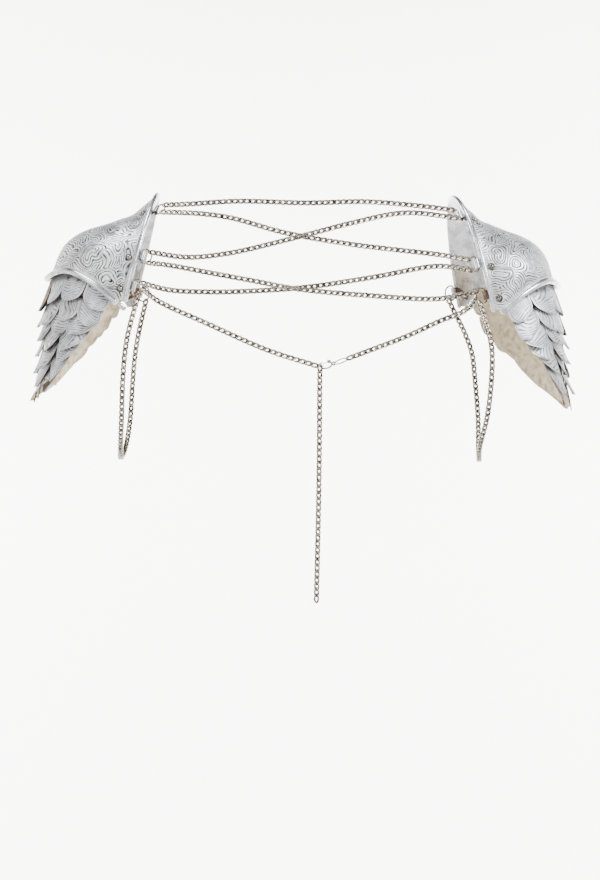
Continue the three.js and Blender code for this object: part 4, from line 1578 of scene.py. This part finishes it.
@dataclass
class CurbChain:
    """A curb chain: oval links of round wire, each twisted so that they interlock and lie flat."""

    route: ChainRoute
    pitch: float = 5.2
    width: float = 5.1
    wire: float = 1.95
    ring_steps: int = 24
    sides: int = 7
    twist: float = 44.0
    overshoot: float = 1.35  # how far a chain's end link reaches past the middle of the wire it hangs on
    long_pitch: float = 11.5
    long_wire: float = 1.15

    def link(self, length: float, wire: float) -> Draft:
        """One link about its own middle, x along the chain.

        Args:
            length: The distance between the middles of its two end bends.
            wire: The thickness of its wire.

        Returns:
            The link.
        """
        angle = np.linspace(0, 2 * math.pi, self.ring_steps, endpoint=False)
        x = np.sign(np.cos(angle)) * np.abs(np.cos(angle)) ** 0.82 * length / 2
        y = np.sign(np.sin(angle)) * np.abs(np.sin(angle)) ** 0.82 * (self.width - self.wire) / 2
        turn = math.radians(self.twist) * x / (length / 2)
        path = np.stack([x, y * np.cos(turn), y * np.sin(turn)], 1)
        hint = np.stack([np.zeros_like(x), -np.sin(turn), np.cos(turn)], 1)
        return tube(path, hint, np.array([[wire * 0.46, wire / 2]]), self.sides, closed=True)

    def row_of_links(self, heads: np.ndarray, length: float, wire: float, run: np.ndarray, path: np.ndarray) -> Draft:
        """Equal links laid along the chain's path.

        Args:
            heads: Where each link starts, in millimetres along the path.
            length: The distance between the middles of a link's end bends.
            wire: The thickness of the links' wire.
            run: The length run at each point of the path.
            path: The path's points.

        Returns:
            The links, joined.
        """
        pattern = self.link(length, wire)
        ends = [np.stack([np.interp(s, run, path[:, k]) for k in range(3)], 1) for s in (heads, heads + length)]
        along = unit(ends[1] - ends[0])
        centre = (ends[0] + ends[1]) / 2
        hint = np.broadcast_to(np.array(self.route.hint), centre.shape).copy()
        if self.route.round_arm:
            hub = np.array([centre[:, 0].mean(), 0.0, -110.0])
            hint = (centre - hub) * np.array([0.25, 1, 1])
        outward = unit(hint - along * (hint * along).sum(1, keepdims=True))
        basis = np.stack([along, np.cross(outward, along), outward], 1)
        corners = np.einsum("vk,nkc->nvc", pattern.corners, basis) + centre[:, None]
        offsets = np.arange(len(heads))[:, None, None] * len(pattern.corners)
        return Draft(corners.reshape(-1, 3), (pattern.quads[None] + offsets).reshape(-1, 4))

    def build(self, finishes: Finishes) -> None:
        """Makes the whole chain as one joined mesh."""
        middle = np.array(self.route.through, float)
        first, last = np.array(self.route.first, float), np.array(self.route.last, float)
        start = first - unit(middle[0] - first) * self.overshoot
        end = last - unit(middle[-1] - last) * self.overshoot
        run, path = SmoothCurve(np.vstack([start, middle, end])).by_length()
        total = run[-1]
        room = total - self.wire - self.route.long_links * self.long_pitch
        count = max(1, round(room / self.pitch))
        pitch = room / count
        rows = [self.row_of_links(np.arange(count) * pitch, pitch + self.wire, self.wire, run, path)]
        if self.route.long_links:
            heads = room + np.arange(self.route.long_links) * self.long_pitch + self.wire - self.long_wire
            rows.append(self.row_of_links(heads, self.long_pitch + self.long_wire, self.long_wire, run, path))
        make_piece(f"{self.route.name}_links", joined(rows), [finishes.nickel], [self.route.name])
        LOG.info("%s: %d links of pitch %.2f mm over %.0f mm", self.route.name, count, pitch, total)


@dataclass
class LobsterClasp:
    """The clasp's hooked body with its eye, the sprung lever, and the jump ring that it holds."""

    sizes: ClaspSizes

    def body(self) -> Draft:
        """The hook, from its nose round below the mouth to the eye, and the pin of the lever."""
        size = self.sizes
        a = (size.inner_length + size.wire) / 2
        b = (size.inner_height + size.wire) / 2
        angle = np.radians(np.linspace(118, 400, 72))
        path = np.stack([a * np.cos(angle), b * np.sin(angle), np.zeros_like(angle)], 1)
        run = np.linspace(0, 1, len(angle))
        thick = size.wire / 2 * blend(0.72, 1.05, np.clip(run * 3, 0, 1))
        wide = size.wall / 2 * blend(0.55, 1.0, np.clip(run * 2.4, 0, 1))
        hook = tube(path, np.array([0.0, 0.0, 1.0]), np.stack([wide, thick], 1), 16)
        turn = np.linspace(0, 2 * math.pi, 28, endpoint=False)
        radius = (size.eye_radius + size.eye_hole) / 2
        eye_path = np.stack(
            [size.eye_centre + radius * np.cos(turn), radius * np.sin(turn), np.zeros_like(turn)], 1
        )
        eye_wire = (size.eye_radius - size.eye_hole) / 2
        eye = tube(eye_path, np.array([0.0, 0.0, 1.0]), np.array([[0.75, eye_wire]]), 12, closed=True)
        pin = turned(
            [(0, -1.5), (0.4, -1.5), (0.5, -1.35), (0.5, 1.35), (0.4, 1.5), (0, 1.5)],
            16,
        )
        pin.corners = pin.corners + np.array([*size.pivot, 0])
        cheeks = [self.cheek(z) for z in (-1.2, 1.2)]
        return joined([hook, eye, pin, *cheeks])

    def cheek(self, height: float) -> Draft:
        """One of the two plates that carry the pin on both sides of the lever."""
        size = self.sizes
        half = 0.3
        disc = turned(
            [(0, -half), (1.25, -half), (1.45, -half * 0.5), (1.45, half * 0.5), (1.25, half), (0, half)], 24
        )
        disc.corners = disc.corners * np.array([1.25, 1.0, 1.0]) + np.array([size.pivot[0], size.pivot[1] - 0.2, height])
        return disc

    def lever(self) -> Draft:
        """The lever: a hub on the pin, a finger that closes the mouth and a thumb nub."""
        size = self.sizes
        hub = size.pivot_radius + size.clearance + 0.4
        finger = np.array(
            [
                (-size.lever_reach, -size.lever_dip, 0.0),
                (-size.lever_reach * 0.6, -size.lever_dip * 0.55, 0.0),
                (-size.lever_reach * 0.3, -size.lever_dip * 0.15, 0.0),
                (-0.9, 0.1, 0.0),
            ]
        )
        path = SmoothCurve(finger).at(np.linspace(0, 1, 20))
        path, radii = round_ended(path, size.lever_width / 2)
        wide = np.minimum(radii / (size.lever_width / 2), 1) * size.lever_wall / 2
        arm = tube(path, np.array([0.0, 0.0, 1.0]), np.stack([wide, radii], 1), 14)
        turn = np.linspace(0, 2 * math.pi, 28, endpoint=False)
        middle = (hub + size.pivot_radius + size.clearance) / 2
        ring_path = np.stack([middle * np.cos(turn), middle * np.sin(turn), np.zeros_like(turn)], 1)
        ring_wire = (hub - size.pivot_radius - size.clearance) / 2
        ring = tube(ring_path, np.array([0.0, 0.0, 1.0]), np.array([[size.lever_wall / 2, ring_wire]]), 12, closed=True)
        nub_path, nub_radii = round_ended(np.array([(-1.0, 0.5, 0), (-1.15, 1.0, 0), (-1.3, 1.5, 0)], float), 0.42)
        nub = tube(nub_path, np.array([0.0, 0.0, 1.0]), np.stack([nub_radii * 1.4, nub_radii], 1), 12)
        draft = joined([arm, ring, nub])
        draft.corners = draft.corners + np.array([*size.pivot, 0])
        return draft

    def jump_ring(self) -> Draft:
        """The round jump ring, which lies level in the hook."""
        size = self.sizes
        turn = np.linspace(0, 2 * math.pi, 48, endpoint=False)
        path = np.stack([np.cos(turn), np.sin(turn), np.zeros_like(turn)], 1) * size.ring_radius + np.array(size.hook)
        return tube(path, np.array([0.0, 0.0, 1.0]), np.array([[size.ring_wire, size.ring_wire]]), 12, closed=True)

    def build(self, finishes: Finishes) -> None:
        """Makes the body, the lever and the jump ring."""
        nickel = [finishes.nickel]
        seat = self.sizes.seated
        make_piece("clasp_hook", self.body().moved(seat), nickel, ["clasp_body"], mirrored=True)
        make_piece(
            "clasp_thumb_lever", self.lever().moved(seat), nickel, ["clasp_lever"], LEVER, mirrored=True
        )
        make_piece("clasp_jump_ring", self.jump_ring(), nickel, ["jump_ring"])


@dataclass
class ChainWork:
    """All the chains of the harness, with the chosen points of their routes."""

    fittings: dict[tuple[Side, RingSite], RingFitting]
    clasp: ClaspSizes

    def ring(self, side: Side, site: RingSite, slot: int) -> np.ndarray:
        """Where a chain goes round a D-ring."""
        return self.fittings[side, site].anchor(slot)

    def routes(self) -> list[ChainRoute]:
        """Every chain's route; the ends come from the rings and the clasp."""
        left, right = Side.LEFT, Side.RIGHT
        top, mid, low, front = RingSite.TOP, RingSite.MID, RingSite.LOW, RingSite.FRONT
        hook = np.array(self.clasp.hook)
        ring = self.clasp.ring_radius
        eye_end = self.clasp.seated(np.array([[self.clasp.eye_centre + 1.35, 0, 0]]))[0]
        return [
            ChainRoute(
                "top_chain",
                ((-100, -45, 24), (-57, -49, 26.2), (2, -51, 24.5), (53, -49, 25.7), (99, -45, 22.5)),
                self.ring(left, top, -1),
                self.ring(right, top, -1),
            ),
            ChainRoute(
                "upper_cross_chain_left",
                (
                    (-91, -56, 15),
                    (-63, -60, 11),
                    (-17, -64, -2),
                    (39, -63, -11.8),
                    (79, -60, -16.5),
                    (118, -61, -21),
                ),
                self.ring(left, top, 1),
                self.ring(right, mid, -1),
            ),
            ChainRoute(
                "upper_cross_chain_right",
                (
                    (-100, -66, -23.3),
                    (-64, -69, -20),
                    (-24, -71, -11),
                    (13, -70, -1.4),
                    (39, -66, 5.6),
                    (87, -57, 15.5),
                ),
                self.ring(left, mid, -1),
                self.ring(right, top, 1),
            ),
            ChainRoute(
                "lower_cross_chain_left",
                (
                    (-116, -71, -30.3),
                    (-83, -76, -36.7),
                    (-43, -80, -44.3),
                    (-8, -82, -51),
                    (58, -80, -57),
                    (116, -75, -59.3),
                ),
                self.ring(left, mid, 1),
                self.ring(right, low, -1),
            ),
            ChainRoute(
                "lower_cross_chain_right",
                (
                    (-116, -72, -51.6),
                    (-83, -73, -53.4),
                    (-43, -74, -52.6),
                    (2, -75, -49.4),
                    (58, -73, -41),
                    (116, -68, -31),
                ),
                self.ring(left, low, -1),
                self.ring(right, mid, 1),
            ),
            ChainRoute(
                "clasp_chain_left",
                ((-124, -76, -61.7), (-83, -82, -80.6), (-30, -88, -104)),
                self.ring(left, low, 0),
                hook + np.array([-ring, 0, 0]),
            ),
            ChainRoute(
                "clasp_chain_right",
                ((137, -76, -70), (117, -79, -78), (88, -83, -91.4), (50, -88, -106)),
                self.ring(right, low, 0),
                eye_end,
                long_links=1,
            ),
            ChainRoute(
                "extension_chain",
                ((13.4, -91.6, -122), (12.6, -92, -216.5)),
                hook + np.array([0, -ring, 0]),
                (10.4, -91, -316.6),
            ),
            ChainRoute(
                "left_underarm_chain",
                (
                    (-151.5, -74, -94),
                    (-155, -74, -129),
                    (-156.5, -66, -160),
                    (-159, -42, -186),
                    (-161, 0, -196),
                    (-159, 42, -186),
                    (-156.5, 66, -160),
                    (-155, 74, -129),
                    (-151.5, 74, -94),
                ),
                self.ring(left, low, 1),
                self.ring(left, front, 1),
                round_arm=True,
            ),
            ChainRoute(
                "right_underarm_chain",
                (
                    (160, -78, -100),
                    (160, -76, -129),
                    (157, -66, -160),
                    (152, -42, -186),
                    (154, 0, -198),
                    (156, 42, -186),
                    (157, 64, -160),
                    (155, 72, -129),
                    (151, 73, -98),
                ),
                self.ring(right, low, 1),
                self.ring(right, front, 1),
                round_arm=True,
            ),
        ]

    def build(self, finishes: Finishes) -> None:
        """Makes every chain."""
        for route in self.routes():
            CurbChain(route).build(finishes)


@dataclass
class Studio:
    """The camera, a white paper floor that rises to a wall all round, and soft lamps."""

    camera_place: tuple = (-3.5, -2600.0, -180.0)
    focal_pixels: float = 2955.0
    frame_height: float = 880.0
    sensor_height: float = 24.0
    floor_drop: float = 1350.0
    wall_distance: float = 4000.0
    bend_radius: float = 900.0
    wall_height: float = 2600.0
    paper_sides: int = 96

    def camera(self) -> None:
        """Places the camera at the photograph's viewing angle."""
        lens = bpy.data.cameras.new("camera")
        lens.sensor_fit = "VERTICAL"
        lens.sensor_height = self.sensor_height
        lens.lens = self.focal_pixels / self.frame_height * self.sensor_height
        lens.clip_end = 50
        holder = bpy.data.objects.new("camera", lens)
        holder.location = [v * MM for v in self.camera_place]
        holder.rotation_euler = (math.pi / 2, 0, 0)
        bpy.context.scene.collection.objects.link(holder)
        bpy.context.scene.camera = holder

    def backdrop(self) -> None:
        """Lays the paper: a round flat floor, a wide bend and a wall all round."""
        bend = np.linspace(0, math.pi / 2, 16)
        low = -self.floor_drop
        reaches = [60.0, *(self.wall_distance - self.bend_radius * (1 - np.sin(bend))), self.wall_distance]
        heights = [low, *(low + self.bend_radius * (1 - np.cos(bend))), self.wall_height]
        angles = np.linspace(0, 2 * math.pi, self.paper_sides + 1)
        corners = np.array([[(r * math.cos(a), r * math.sin(a), z) for r, z in zip(reaches, heights)] for a in angles])
        mesh = bpy.data.meshes.new("paper_floor")
        mesh.from_pydata((corners.reshape(-1, 3) * MM).tolist(), [], grid_quads(len(angles), len(heights)).tolist())
        mesh.materials.append(Backdrop().make())
        mesh.polygons.foreach_set("use_smooth", [True] * len(mesh.polygons))
        paper = bpy.data.objects.new("paper_floor", mesh)
        bpy.context.scene.collection.objects.link(paper)

    def lamp(
        self,
        name: str,
        place: Sequence[float],
        size: float,
        power: float,
        colour: str,
        aim_at: Sequence[float] = (0.0, 0.0, -60.0),
    ) -> None:
        """Hangs one square soft lamp.

        Args:
            name: The lamp's name.
            place: Where it hangs, in millimetres.
            size: Its side, in millimetres.
            power: Its power in watts.
            colour: Its colour as sRGB hex.
            aim_at: The point that it faces, in millimetres.
        """
        light = bpy.data.lights.new(name, "AREA")
        light.size = size * MM
        light.energy = power
        light.color = linear(colour)[:3]
        holder = bpy.data.objects.new(name, light)
        holder.location = [v * MM for v in place]
        aim = np.array(aim_at) - np.array(place, float)
        flat = math.hypot(aim[0], aim[1])
        holder.rotation_euler = (math.pi / 2 + math.atan2(aim[2], flat), 0, math.atan2(-aim[0], aim[1]))
        bpy.context.scene.collection.objects.link(holder)

    def light(self) -> None:
        """Sets the room's soft light and the lamps."""
        world = bpy.data.worlds.new("studio")
        bpy.context.scene.world = world
        world.use_nodes = True
        tree = world.node_tree
        tree.nodes.clear()
        glow = add_node(tree, "ShaderNodeBackground", {}, {"Color": linear("dfe3ea"), "Strength": 0.1})
        add_node(tree, "ShaderNodeOutputWorld", {}, {"Surface": glow.outputs["Background"]})
        self.lamp("overhead_lamp", (-600, -600, 3000), 1500, 165, "ffffff")
        self.lamp("left_front_lamp", (-2150, -2150, 1450), 1000, 36, "fffdf8")
        self.lamp("right_front_lamp", (2400, -1500, 1700), 900, 210, "f8fbff")
        self.lamp("paper_lamp_left", (-2000, 2300, 0), 1200, 470, "ffffff", (100, 4000, -250))
        self.lamp("paper_lamp_right", (2000, 2300, 0), 1200, 470, "ffffff", (-100, 4000, -250))

    def build(self) -> None:
        """Sets up the whole studio."""
        self.camera()
        self.backdrop()
        self.light()


def left_motifs() -> tuple[Motif, ...]:
    """The large scrolls and lobes on the left cap's back, placed as they lie on the real one."""
    return (
        Motif(-0.56, 0.38, 7, 150, 120, 1, 0.0),
        Motif(-0.80, 0.70, 9, 120, 100, -1, 6.2),
        Motif(-0.86, 0.36, 5, 60, 60, 1, 5.0),
        Motif(-0.50, 0.70, 13, 100, 90, 1, 7.4),
        Motif(-0.68, 0.20, 16, 170, 40, 0, 0.0),
        Motif(-0.30, 0.10, 22, 10, 20, 0, 0.0),
        Motif(-0.18, 0.42, 16, 160, -60, 1, 0.0),
        Motif(-0.66, 0.55, 15, 200, 50, 0, 0.0),
    )


def right_motifs() -> tuple[Motif, ...]:
    """The large scrolls and lobes on the right cap's back, placed as they lie on the real one."""
    return (
        Motif(-0.58, 0.34, 8, 30, 90, -1, 5.0),
        Motif(-0.74, 0.36, 10, 80, 60, 1, 5.2),
        Motif(-0.72, 0.76, 6, 90, 40, 0, 8.6),
        Motif(-0.58, 0.58, 2, 0, 0, 0, 3.4),
        Motif(-0.44, 0.84, 14, 110, -100, 1, 0.0),
        Motif(-0.36, 0.55, 16, 160, 80, -1, 0.0),
        Motif(-0.30, 0.12, 20, 0, 30, 0, 0.0),
        Motif(-0.92, 0.24, 7, 60, 60, -1, 0.0),
    )


def main() -> None:
    """Builds the studio, both pauldrons, the chains and the clasp."""
    logging.basicConfig(level=logging.INFO, format="%(name)s: %(message)s")
    Studio().build()
    finishes = Finishes.make()
    form = CapForm()
    fittings = {}
    for side, motifs, seed, flare in ((Side.LEFT, left_motifs(), 11, 7.0), (Side.RIGHT, right_motifs(), 29, 13.0)):
        placement = Placement(side, form)
        Cap(form, placement, ToolingPattern(motifs, seed)).build(finishes)
        bare_feathers = ((0, 3),) if side is Side.LEFT else ()
        Tail(form, placement, flare, seed, turned_out=bare_feathers).build(finishes)
        for site in RingSite:
            fittings[side, site] = RingFitting(form, placement, site)
            fittings[side, site].build(finishes)
    clasp = ClaspSizes()
    LobsterClasp(clasp).build(finishes)
    ChainWork(fittings, clasp).build(finishes)


if __name__ == "__main__":
    main()
